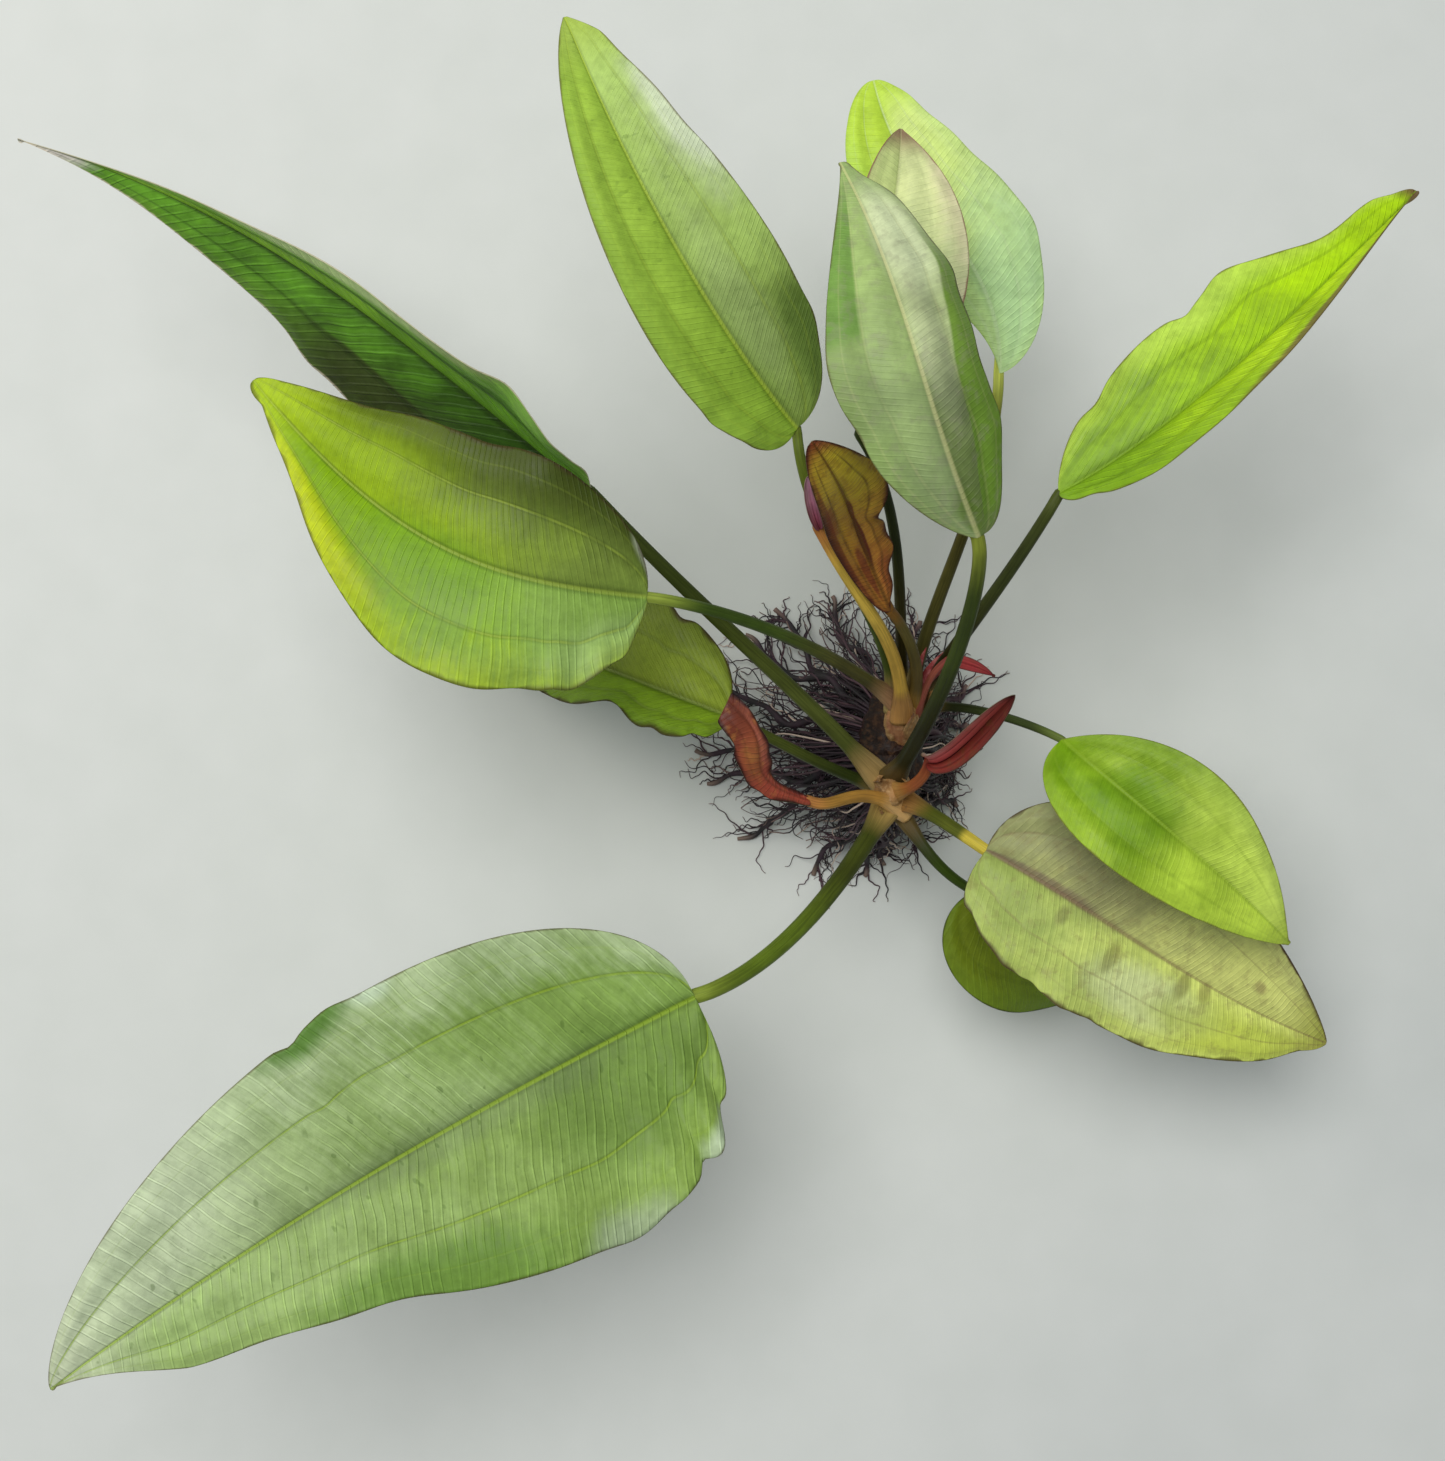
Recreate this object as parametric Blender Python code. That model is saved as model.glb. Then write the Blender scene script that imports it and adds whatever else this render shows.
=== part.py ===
"""Amazon sword plant, lifted from its bed and stood on its own roots.

A short rhizome carries two crowns side by side. From each crown the leaves fan out in a flat,
open rosette: every leaf is a round stalk and a sword shaped blade. Below, roots spread to the ground.

All sizes in the tables are millimetres. +Z is up, +Y points to the back of the rosette, and the
origin lies on the ground under the middle of the plant.
"""

import math
from dataclasses import dataclass

import bmesh
import bpy
import numpy as np

MM = 0.001

# Where the plant stands, so that the middle of its box falls on the origin.
SHIFT = np.array([3.5, -6.0, 0.0])

GAP = 0.3
BLADE_THICKNESS = 0.9
STALK_SIDES = 7
STALK_RINGS = 8
STALK_END_TAPER = 0.72
WAVE_OFFSET = 1.7
BUMP_FADE = 4
SHEATH_SWELL = 1.25
ROOT_SIDES = 6
ROOT_RINGS = 8

# Crown A is the front one, crown B the back one. The rhizome is the lump that joins them.
CROWN_A = np.array([36.7, -13.0, 44.0])
CROWN_B = np.array([39.5, 4.5, 44.0])
CROWN_RADIUS = 5.0
CROWN_HEIGHT = 9.0
RHIZOME_CENTRE = np.array([37.5, -5.0, 34.0])
RHIZOME_RADII = np.array([7.5, 15.0, 8.5])
RHIZOME_VOXEL = 0.9
RHIZOME_KEPT = 0.14
OUTER_SHEATH = 10.0
INNER_SHEATH = 8.0

ROOT_COUNT = 18
ROOT_RADIUS = 1.1
ROOT_TIP_RADIUS = 0.5
ROOT_REACH = 32.0
ROOT_LEAN = 12.0
ROOT_LEAN_TOWARDS = math.radians(150)
GOLDEN_ANGLE = math.radians(137.508)

GREEN = (0.16, 0.33, 0.04)
OLIVE = (0.22, 0.26, 0.06)
RED = (0.30, 0.06, 0.03)
STALK_GREEN = (0.07, 0.12, 0.02)
STALK_AMBER = (0.62, 0.38, 0.06)
TAN = (0.42, 0.25, 0.10)
ROOT_BROWN = (0.06, 0.03, 0.035)


LEFT = 1
RIGHT = -1


@dataclass
class Leaf:
    """One leaf. Its stalk and its midrib each pass through four points at even steps.

    A pair of values is for the left half of the blade and the right half, seen from the stalk.
    A bump is (which margin, where along it, how far it spreads, mm outwards, mm upwards).
    """

    name: str
    stalk: list
    stalk_width: float
    midrib: list
    half_width: tuple
    base_round: tuple = (0.42, 0.42)
    tip_taper: tuple = (0.78, 0.78)
    fold: tuple = (8.0, 8.0)
    curl: tuple = (0.0, 0.0)
    lobe: tuple = (0.0, 0.0)
    ruffle: tuple = (0.6, 0.6)
    waves: float = 2.5
    roll: tuple = (0.0, 0.0)
    bumps: tuple = ()
    sheath: float = OUTER_SHEATH
    rows: int = 12
    columns: int = 6
    colour: tuple = GREEN
    stalk_colour: tuple = STALK_GREEN


LEAVES = [
    Leaf(
        "front_left_leaf",
        [(36, -16, 44), (24.5, -32, 58), (10.5, -45, 75), (-5.4, -52.7, 88)],
        4.4,
        [(-5.4, -52.7, 88), (-44.5, -72, 100), (-83.9, -94.2, 112), (-123.9, -121.5, 118)],
        half_width=(34.8, 31.3), base_round=(0.37, 0.48), tip_taper=(1.17, 0.72),
        bumps=(
            (LEFT, 0.23, 0.05, 1.6, 0),
            (LEFT, 0.57, 0.07, -1.7, 0),
            (LEFT, 0.85, 0.1, 3.2, 0),
        ),
        ruffle=(1.6, 1.2), waves=3.5, rows=14, columns=8,
    ),
    Leaf(
        "left_leaf",
        [(38, 6, 46), (23.5, 14.5, 66), (5.5, 21.5, 86), (-14.5, 25.7, 100)],
        3.1,
        [(-14.5, 25.7, 100), (-38.6, 29.2, 108), (-63, 40.8, 106), (-91.2, 68.1, 96)],
        half_width=(23.2, 23.1), base_round=(0.63, 0.53), tip_taper=(1.11, 0.73),
        bumps=(
            (LEFT, 0.28, 0.06, -2, 0),
            (LEFT, 0.54, 0.1, 1.3, 0),
            (LEFT, 0.84, 0.08, -0.9, 0),
            (RIGHT, 0.74, 0.07, 0.8, 0),
            (RIGHT, 0.54, 0.07, -0.7, 0),
        ),
        ruffle=(1.0, 1.0), waves=3.0,
    ),
    Leaf(
        "far_left_leaf",
        [(33, -9, 44), (14.5, 9, 56), (-5.9, 27.8, 66), (-27, 48.9, 72)],
        3.7,
        [(-27, 48.9, 72), (-60.8, 75.4, 80), (-99, 102.1, 74), (-148.5, 124.5, 60)],
        half_width=(21.5, 19.4), base_round=(0.33, 0.75), tip_taper=(1.3, 2.11),
        roll=(-50, -50), fold=(16, 30), ruffle=(0.8, 0.8), waves=3.0,
    ),
    Leaf(
        "low_left_leaf",
        [(33, -12, 40), (21, -7, 50), (11, -2, 56), (1, 3, 58)],
        2.9,
        [(1, 3, 58), (-22, 12, 56), (-47, 22, 36), (-76, 35, 0.7)],
        half_width=(12, 18),
        bumps=(
            (LEFT, 0.29, 0.05, -3.8, 0),
            (LEFT, 0.12, 0.05, 0.9, 0),
            (RIGHT, 0.33, 0.05, 0.9, 0),
        ),
        roll=(18, 5), fold=(24, 6), ruffle=(1.6, 0.8), waves=4.0,
    ),
    Leaf(
        "back_leaf",
        [(37, 8, 48), (30, 24.5, 70), (20, 40, 90), (14.4, 58.3, 98)],
        2.8,
        [(14.4, 58.3, 98), (-1.7, 78.5, 112), (-16.6, 104, 118), (-29.6, 133.5, 112)],
        half_width=(15.5, 16.6), base_round=(0.41, 0.46), tip_taper=(0.81, 0.76),
        bumps=(
            (RIGHT, 0.2, 0.05, 0.6, 0),
            (RIGHT, 0.7, 0.06, -0.5, 0),
            (RIGHT, 0.95, 0.05, 1, 0),
        ),
        fold=(28, 6), ruffle=(0.5, 0.5),
    ),
    Leaf(
        "tall_right_leaf",
        [(37, -10, 46), (42.5, 3, 72), (47, 20.5, 100), (47.2, 35.5, 118)],
        4.0,
        [(47.2, 35.5, 118), (37.3, 59.8, 128), (30.5, 81.6, 126), (21.9, 106.3, 112)],
        half_width=(15.9, 12.4), base_round=(0.79, 0.36), tip_taper=(1.14, 0.47),
        bumps=(
            (LEFT, 0.3, 0.06, -0.9, 0),
            (LEFT, 0.48, 0.08, 0.6, 0),
            (RIGHT, 0.7, 0.06, 1.3, 0),
            (RIGHT, 0.4, 0.08, -0.7, 0),
        ),
        fold=(2, -8), curl=(0.0, 0.03), ruffle=(0.8, 0.3),
    ),
    Leaf(
        "middle_right_leaf",
        [(40, 8, 42), (37.5, 24, 60), (34.5, 41.5, 78), (26.8, 57.9, 93)],
        2.7,
        [(26.8, 57.9, 93), (29.4, 77.7, 98), (32.5, 97.8, 100), (34.5, 116.4, 98)],
        half_width=(8.6, 16.3), base_round=(0.79, 1), tip_taper=(0.74, 0.99),
        fold=(25, 5), ruffle=(0.4, 0.4), colour=OLIVE,
    ),
    Leaf(
        "back_right_leaf",
        [(41, 8, 46), (45.5, 28, 62), (52.5, 49, 72), (52.6, 72.3, 78)],
        2.7,
        [(52.6, 72.3, 78), (49.5, 91.3, 84), (38.9, 108.1, 87), (30, 129.3, 86)],
        half_width=(12.3, 14), base_round=(1.28, 0.6), tip_taper=(0.73, 0.75),
        bumps=(
            (RIGHT, 0.38, 0.07, 0.8, 0),
            (RIGHT, 0.66, 0.08, -0.7, 0),
            (RIGHT, 0.92, 0.05, 0.9, 0),
        ),
        ruffle=(0.5, 0.5),
    ),
    Leaf(
        "far_right_leaf",
        [(43, 6, 44), (48, 16, 58), (56.5, 29.5, 74), (67.1, 47.1, 85)],
        2.7,
        [(67.1, 47.1, 85), (88, 61, 90), (112.7, 82.1, 86), (141.5, 110, 75)],
        half_width=(16.1, 14.6), base_round=(0.67, 0.67), tip_taper=(0.82, 1.4),
        bumps=(
            (LEFT, 0.22, 0.05, -1.1, 0),
            (LEFT, 0.65, 0.055, 2.5, 0),
            (LEFT, 0.82, 0.07, -2.1, 0),
            (LEFT, 0.95, 0.05, 1.4, 0),
            (RIGHT, 0.23, 0.06, 1, 0),
            (RIGHT, 0.48, 0.08, -0.9, 0),
        ),
        roll=(-12, -12), fold=(-4, 53), ruffle=(1.4, 0.6), waves=3.0,
    ),
    Leaf(
        "right_leaf",
        [(42, 4, 42), (50, 5, 52), (60, 2.5, 64), (69.6, -1.8, 72)],
        2.3,
        [(69.6, -1.8, 72), (83.8, -14.8, 80), (100.6, -29.2, 78), (117.9, -44.4, 66)],
        half_width=(14.6, 13.9), base_round=(0.96, 0.43), tip_taper=(1.16, 0.84),
        ruffle=(0.4, 0.4),
    ),
    Leaf(
        "front_right_leaf",
        [(39, -15, 44), (45, -18, 50), (51, -22, 55), (55.7, -25.3, 58)],
        3.6,
        [(55.7, -25.3, 58), (79.9, -39.8, 60), (103.8, -54.6, 54), (131.6, -68.1, 44)],
        half_width=(23.8, 20.1), base_round=(0.51, 0.37), tip_taper=(0.8, 0.72), lobe=(3.0, 3.0),
        bumps=(
            (RIGHT, 0.6, 0.08, 0.9, 0),
        ),
        ruffle=(0.8, 0.8), colour=OLIVE,
    ),
    Leaf(
        "low_right_leaf",
        [(39, -18, 40), (43, -24, 42), (48, -30, 42), (55.6, -35.5, 38)],
        2.9,
        [(55.6, -35.5, 38), (62.2, -46.2, 32), (77.9, -52.2, 20), (92.9, -64, 0.7)],
        half_width=(13, 15.3), base_round=(0.42, 0.87), tip_taper=(0.8, 1.2),
        ruffle=(0.5, 0.5), rows=10,
    ),
    Leaf(
        "young_left_leaf",
        [(35, -15, 49), (28, -14, 58), (23, -15, 64), (18.2, -14.7, 68)],
        3.2,
        [(18.2, -14.7, 68), (8.3, -9.1, 75), (8.3, -2.7, 81), (0, 5.7, 84)],
        half_width=(4.9, 2.3), base_round=(0.25, 0.25), tip_taper=(0.06, 0.06),
        roll=(50, -10), fold=(12, 12), ruffle=(0.3, 0.3),
        sheath=INNER_SHEATH, rows=8, columns=4, colour=RED, stalk_colour=STALK_AMBER,
    ),
    Leaf(
        "young_back_leaf",
        [(41, 7, 50), (40.5, 14, 62), (37.5, 20, 72), (34, 24, 80)],
        2.9,
        [(34, 24, 80), (26.6, 38.8, 92), (22.7, 45.6, 104), (16.6, 53.9, 114)],
        half_width=(6.8, 8.1), base_round=(0.45, 1.42), tip_taper=(0.41, 0.72),
        bumps=(
            (RIGHT, 0.16, 0.07, 1.5, 0),
            (RIGHT, 0.36, 0.06, 0.5, 0),
            (RIGHT, 0.52, 0.07, -1.8, 0),
            (RIGHT, 0.7, 0.07, 0.8, 0),
        ),
        fold=(20, 10), ruffle=(0.3, 1.2), waves=2.0,
        sheath=INNER_SHEATH, rows=9, columns=4, colour=RED,
    ),
    Leaf(
        "young_right_leaf",
        [(38, -13, 50), (40, -12, 55), (42, -10, 59), (43.3, -6.7, 63)],
        3.1,
        [(43.3, -6.7, 63), (48, -4.4, 72), (53.5, 2, 81), (57.7, 7, 90)],
        half_width=(4.6, 4), base_round=(0.29, 0.5), tip_taper=(0.57, 0.52),
        fold=(50, 50), ruffle=(0.2, 0.2),
        sheath=INNER_SHEATH, rows=8, columns=4, colour=RED, stalk_colour=STALK_AMBER,
    ),
    Leaf(
        "small_right_leaf",
        [(42.5, 5, 48), (43.5, 9.5, 54), (45, 12.5, 57.5), (47.6, 15, 59.5)],
        2.0,
        [(47.6, 15, 59.5), (50.8, 14.1, 62), (54, 12.9, 63), (57.1, 11.3, 62)],
        half_width=(1.7, 1.7), base_round=(0.5, 0.6), tip_taper=(1.0, 1.1),
        fold=(35, 35), ruffle=(0.1, 0.1),
        sheath=INNER_SHEATH, rows=6, columns=4, colour=RED, stalk_colour=RED,
    ),
    Leaf(
        "furled_back_leaf",
        [(38.5, 6, 51), (34.5, 17.5, 68), (27.5, 27, 82), (19, 39.5, 92)],
        3.1,
        [(19, 39.5, 92), (17.7, 42.5, 95), (16.8, 46, 98), (16.5, 49, 100)],
        half_width=(2.5, 2.5), base_round=(0.5, 0.5), tip_taper=(0.5, 0.5),
        fold=(60, 60), ruffle=(0.1, 0.1),
        sheath=INNER_SHEATH, rows=6, columns=4, colour=RED, stalk_colour=STALK_AMBER,
    ),
]


def through_four_points(points, t):
    """The cubic that passes through four points at t = 0, 1/3, 2/3 and 1, as an array of places."""
    t = np.asarray(t, float)[:, None]
    a, b, c, d = np.asarray(points, float)
    return (
        a * (1 - 3 * t) * (1 - 1.5 * t) * (1 - t)
        + b * 9 * t * (1 - 1.5 * t) * (1 - t)
        - c * 4.5 * t * (1 - 3 * t) * (1 - t)
        + d * t * (1 - 3 * t) * (1 - 1.5 * t)
    )


def bezier(points, t):
    """The cubic Bezier curve with these four control points."""
    t = np.asarray(t, float)[:, None]
    a, b, c, d = np.asarray(points, float)
    return a * (1 - t) ** 3 + 3 * b * t * (1 - t) ** 2 + 3 * c * t**2 * (1 - t) + d * t**3


def unit(vectors):
    return vectors / np.linalg.norm(vectors, axis=-1, keepdims=True)


def frame_along(path):
    """Directions along a path, to its left, and up from it, one of each for every point."""
    ahead = unit(np.gradient(path, axis=0))
    left = unit(np.cross([0.0, 0.0, 1.0], ahead))
    return ahead, left, np.cross(ahead, left)


def blade_surface(leaf, u, v):
    """The blade's middle surface: u runs from base to tip, v from -1 on the right to +1 on the left.

    Each row of points is a line across the midrib. Its half width follows u^base_round times
    (1-u)^tip_taper, and the line is rolled, folded, curled down and ruffled as the leaf's values say.
    """
    midrib = through_four_points(leaf.midrib, u)
    ahead, left, up = frame_along(midrib)
    roll = np.radians(np.interp(u, [0, 1], leaf.roll))[:, None]
    side = left * np.cos(roll) + up * np.sin(roll)
    normal = up * np.cos(roll) - left * np.sin(roll)

    def of_side(pair):
        return np.where(v >= 0, pair[0], pair[1])

    u = u[:, None]
    rounding, taper = of_side(leaf.base_round), of_side(leaf.tip_taper)
    widest = rounding / (rounding + taper)
    outline = (u / widest) ** rounding * ((1 - u) / (1 - widest)) ** taper
    half = outline * of_side(leaf.half_width)
    lift = 0.0
    for margin, place, spread, out, up_by in leaf.bumps:
        swell = np.exp(-(((u - place) / spread) ** 2)) * (v * margin > 0)
        half = half + out * swell * np.minimum(1, BUMP_FADE * outline)
        lift = lift + up_by * swell * v**2
    reach = half * np.abs(v)
    fold = np.radians(of_side(leaf.fold))
    across = reach * np.cos(fold) * np.sign(v)
    wave = np.sin(2 * np.pi * leaf.waves * u + np.where(v >= 0, 0.0, WAVE_OFFSET))
    rise = reach * np.sin(fold) - of_side(leaf.curl) * reach**2
    rise = rise + of_side(leaf.ruffle) * v**2 * outline * wave + lift
    back = of_side(leaf.lobe) * v**2 * outline * (1 - u) ** 4
    return (
        midrib[:, None]
        + across[..., None] * side[:, None]
        + rise[..., None] * normal[:, None]
        - back[..., None] * ahead[:, None]
    )


def tube(path, radii, sides, flatness=None):
    """Corners and faces of a closed tube along a path, with one radius for each point of it."""
    _, left, up = frame_along(path)
    turn = np.arange(sides) * 2 * np.pi / sides
    flat = np.ones(len(path)) if flatness is None else flatness
    rings = (
        path[:, None]
        + (radii * flat)[:, None, None] * np.cos(turn)[None, :, None] * left[:, None]
        + (radii / flat)[:, None, None] * np.sin(turn)[None, :, None] * up[:, None]
    )
    faces = []
    for ring in range(len(path) - 1):
        for side in range(sides):
            here = ring * sides + side
            beside = ring * sides + (side + 1) % sides
            faces.append((here, here + sides, beside + sides, beside))
    last = (len(path) - 1) * sides
    faces.append(tuple(range(sides)))
    faces.append(tuple(last + side for side in reversed(range(sides))))
    return rings.reshape(-1, 3), faces


def material(name, colour, roughness):
    made = bpy.data.materials.get(name) or bpy.data.materials.new(name)
    made.use_nodes = True
    shader = made.node_tree.nodes["Principled BSDF"]
    shader.inputs["Base Color"].default_value = (*colour, 1.0)
    shader.inputs["Roughness"].default_value = roughness
    shader.inputs["Metallic"].default_value = 0.0
    return made


def add_object(name, corners, faces, finish):
    """A new object from corners in millimetres, moved to where the plant stands."""
    mesh = bpy.data.meshes.new(name)
    mesh.from_pydata((corners + SHIFT) * MM, [], faces)
    shape = bmesh.new()
    shape.from_mesh(mesh)
    bmesh.ops.remove_doubles(shape, verts=shape.verts, dist=0.001 * MM)
    bmesh.ops.recalc_face_normals(shape, faces=shape.faces)
    shape.to_mesh(mesh)
    shape.free()
    mesh.shade_smooth()
    mesh.materials.append(finish)
    made = bpy.data.objects.new(name, mesh)
    bpy.context.scene.collection.objects.link(made)
    return made


def make_blade(leaf):
    u = (np.arange(leaf.rows + 1) / leaf.rows) ** 1.35
    v = np.linspace(-1, 1, leaf.columns + 1)
    surface = blade_surface(leaf, u, v)
    across = leaf.columns + 1
    faces = []
    for row in range(leaf.rows):
        for column in range(leaf.columns):
            here = row * across + column
            faces.append((here, here + across, here + across + 1, here + 1))
    finish = material(leaf.name + "_blade", leaf.colour, 0.4)
    made = add_object(leaf.name + "_blade", surface.reshape(-1, 3), faces, finish)
    thicken = made.modifiers.new("thickness", "SOLIDIFY")
    thicken.thickness = BLADE_THICKNESS * MM
    thicken.offset = 0.0
    return made


def share_for_length(path_points, length):
    """How far along the curve, from 0 to 1, the given distance from its start is reached."""
    t = np.linspace(0, 1, 200)
    path = through_four_points(path_points, t)
    run = np.concatenate([[0], np.cumsum(np.linalg.norm(np.diff(path, axis=0), axis=1))])
    return float(np.interp(length, run, t))


def stalk_length(leaf):
    path = through_four_points(leaf.stalk, np.linspace(0, 1, 200))
    return float(np.linalg.norm(np.diff(path, axis=0), axis=1).sum())


def make_stalk(leaf):
    """The leaf's stalk from the end of its sheath to just short of the blade."""
    first = share_for_length(leaf.stalk, leaf.sheath + GAP + 0.4)
    last = share_for_length(leaf.stalk, stalk_length(leaf) - BLADE_THICKNESS - GAP)
    t = np.linspace(first, last, STALK_RINGS)
    path = through_four_points(leaf.stalk, t)
    radii = leaf.stalk_width / 2 * np.interp(t, [0, 1], [1.0, STALK_END_TAPER])
    corners, faces = tube(path, radii, STALK_SIDES)
    finish = material(leaf.name + "_stalk", leaf.stalk_colour, 0.35)
    return add_object(leaf.name + "_stalk", corners, faces, finish)


def make_rhizome():
    """The rhizome, its two crowns and the sheath at the foot of every stalk, grown into one body."""
    shape = bmesh.new()
    bmesh.ops.create_uvsphere(shape, u_segments=24, v_segments=16, radius=1.0)
    for corner in shape.verts:
        place = np.array(corner.co) * RHIZOME_RADII + RHIZOME_CENTRE + SHIFT
        corner.co = place * MM
    for crown in (CROWN_A, CROWN_B):
        bulb = bmesh.ops.create_uvsphere(shape, u_segments=16, v_segments=12, radius=1.0)
        for corner in bulb["verts"]:
            size = np.array([CROWN_RADIUS, CROWN_RADIUS, CROWN_HEIGHT])
            corner.co = (np.array(corner.co) * size + crown + SHIFT) * MM
    for leaf in LEAVES:
        t = np.linspace(0, share_for_length(leaf.stalk, leaf.sheath), 5)
        path = through_four_points(leaf.stalk, t)
        radii = np.linspace(SHEATH_SWELL, 1.0, 5) * leaf.stalk_width / 2
        corners, faces = tube(path, radii, 12)
        added = [shape.verts.new((corner + SHIFT) * MM) for corner in corners]
        for face in faces:
            shape.faces.new([added[index] for index in face])
    mesh = bpy.data.meshes.new("rhizome")
    shape.to_mesh(mesh)
    shape.free()
    mesh.materials.append(material("rhizome", TAN, 0.6))
    made = bpy.data.objects.new("rhizome", mesh)
    bpy.context.scene.collection.objects.link(made)
    fuse = made.modifiers.new("fuse", "REMESH")
    fuse.mode = "VOXEL"
    fuse.voxel_size = RHIZOME_VOXEL * MM
    fuse.use_smooth_shade = True
    lighten = made.modifiers.new("lighten", "DECIMATE")
    lighten.ratio = RHIZOME_KEPT
    return made


def make_root(number):
    """One root: out of the rhizome's underside, down in an arc, and a little way along the ground."""
    turn = number * GOLDEN_ANGLE
    out = np.array([math.cos(turn), math.sin(turn), 0.0])
    aside = np.array([-out[1], out[0], 0.0])
    depth = 0.35 + 0.5 * ((number * 5) % ROOT_COUNT) / ROOT_COUNT
    level = math.sqrt(1 - depth**2)
    foot = RHIZOME_CENTRE * [1, 1, 0]
    start = RHIZOME_CENTRE + RHIZOME_RADII * (out * level - np.array([0, 0, depth]))
    start = start + (out * level - np.array([0, 0, depth])) * (ROOT_RADIUS + GAP)
    reach = ROOT_REACH + ROOT_LEAN * math.cos(turn - ROOT_LEAN_TOWARDS)
    reach = reach * (0.86 + 0.28 * ((number * 7) % ROOT_COUNT) / ROOT_COUNT)
    bow = 2.5 * math.sin(number * 2.3)
    control = [
        start,
        start + out * 7.0 * level + np.array([0, 0, -4.0]),
        foot + out * reach * 0.72 + aside * bow + np.array([0, 0, ROOT_TIP_RADIUS * 2]),
        foot + out * reach + aside * bow * 0.6 + np.array([0, 0, ROOT_TIP_RADIUS]),
    ]
    t = np.linspace(0, 1, ROOT_RINGS)
    path = bezier(control, t)
    radii = np.interp(t, [0, 1], [ROOT_RADIUS, ROOT_TIP_RADIUS])
    path[:, 2] = np.maximum(path[:, 2], radii)
    corners, faces = tube(path, radii, ROOT_SIDES)
    finish = material("root", ROOT_BROWN, 0.7)
    return add_object(f"root_{number + 1:02d}", corners, faces, finish)


def main():
    for old in list(bpy.data.objects):
        bpy.data.objects.remove(old)
    make_rhizome()
    for leaf in LEAVES:
        make_stalk(leaf)
        make_blade(leaf)
    for number in range(ROOT_COUNT):
        make_root(number)


main()
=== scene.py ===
# %% [markdown]
# # An amazon sword plant
# A plant that grows as a rosette: every leaf comes from one short stem near the ground. A rosette
# like this could be sculpted leaf by leaf. Here each leaf is worked out from a few measured values,
# so that all seventeen share the same functions and still look grown, not copied.
#
# The solid model is loaded first, as a fixed frame. Every surface below is made around it.

# %% Load the solid model
import math
from dataclasses import dataclass

import bpy
import numpy as np
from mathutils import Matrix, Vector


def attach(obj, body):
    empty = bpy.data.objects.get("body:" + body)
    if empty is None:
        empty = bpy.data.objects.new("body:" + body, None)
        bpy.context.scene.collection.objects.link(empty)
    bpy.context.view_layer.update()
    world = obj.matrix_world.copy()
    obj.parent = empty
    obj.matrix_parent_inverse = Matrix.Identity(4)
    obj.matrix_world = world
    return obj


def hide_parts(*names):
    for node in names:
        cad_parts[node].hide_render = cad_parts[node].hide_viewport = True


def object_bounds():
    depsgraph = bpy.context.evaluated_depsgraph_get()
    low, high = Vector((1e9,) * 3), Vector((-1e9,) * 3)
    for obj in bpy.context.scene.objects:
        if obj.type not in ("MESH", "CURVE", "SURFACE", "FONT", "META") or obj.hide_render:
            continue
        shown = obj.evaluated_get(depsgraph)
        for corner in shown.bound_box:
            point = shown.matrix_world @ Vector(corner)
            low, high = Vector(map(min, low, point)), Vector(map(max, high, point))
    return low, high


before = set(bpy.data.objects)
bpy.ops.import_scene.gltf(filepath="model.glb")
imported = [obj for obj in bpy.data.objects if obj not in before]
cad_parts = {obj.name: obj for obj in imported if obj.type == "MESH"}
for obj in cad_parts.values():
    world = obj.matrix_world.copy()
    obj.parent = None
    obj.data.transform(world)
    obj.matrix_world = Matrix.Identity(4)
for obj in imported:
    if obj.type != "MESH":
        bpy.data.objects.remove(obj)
cad_low, cad_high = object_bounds()
size_mm = [round(1000 * (high - low)) for low, high in zip(cad_low, cad_high)]
print("solids:", len(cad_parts), "box in mm:", size_mm)

# %% [markdown]
# ## Camera
# The plant is seen from straight above, from about half a metre over the ground it stands on. A
# camera that looks down needs no tilt at all: Blender's cameras look along -Z when not turned.
# Places in this script are in millimetres from the point straight under the camera. SHIFT moves
# them all so that the plant's box is centred on the origin, as it is in the solid model.

# %% Camera
MM = 0.001
SHIFT = np.array([3.5, -6.0, 0.0])
CAMERA_HEIGHT = 525.0
SENSOR = 36.0
LENS = 54.4

camera = bpy.data.objects.new("camera", bpy.data.cameras.new("camera"))
camera.data.lens = LENS
camera.data.sensor_width = SENSOR
camera.data.clip_start = 0.02
camera.location = (SHIFT + [0, 0, CAMERA_HEIGHT]) * MM
bpy.context.scene.collection.objects.link(camera)
bpy.context.scene.camera = camera
print("camera at", [round(value, 3) for value in camera.location])

# %% [markdown]
# ## The leaves, as a table
# A leaf is described the way a botanist would measure it: where its stalk runs, where the midrib of
# its blade runs, how wide each half is, and how round the base and how drawn out the tip are. Each
# curve passes through four points at even steps, in millimetres from the point straight under the
# camera. A midrib starts where its stalk ends, so only its other three points are given. A bump is a
# place where a margin swells out or is nicked. The leaves on the left and at the back come first.


# %% Leaves on the left
LEFT = 1
RIGHT = -1


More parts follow.
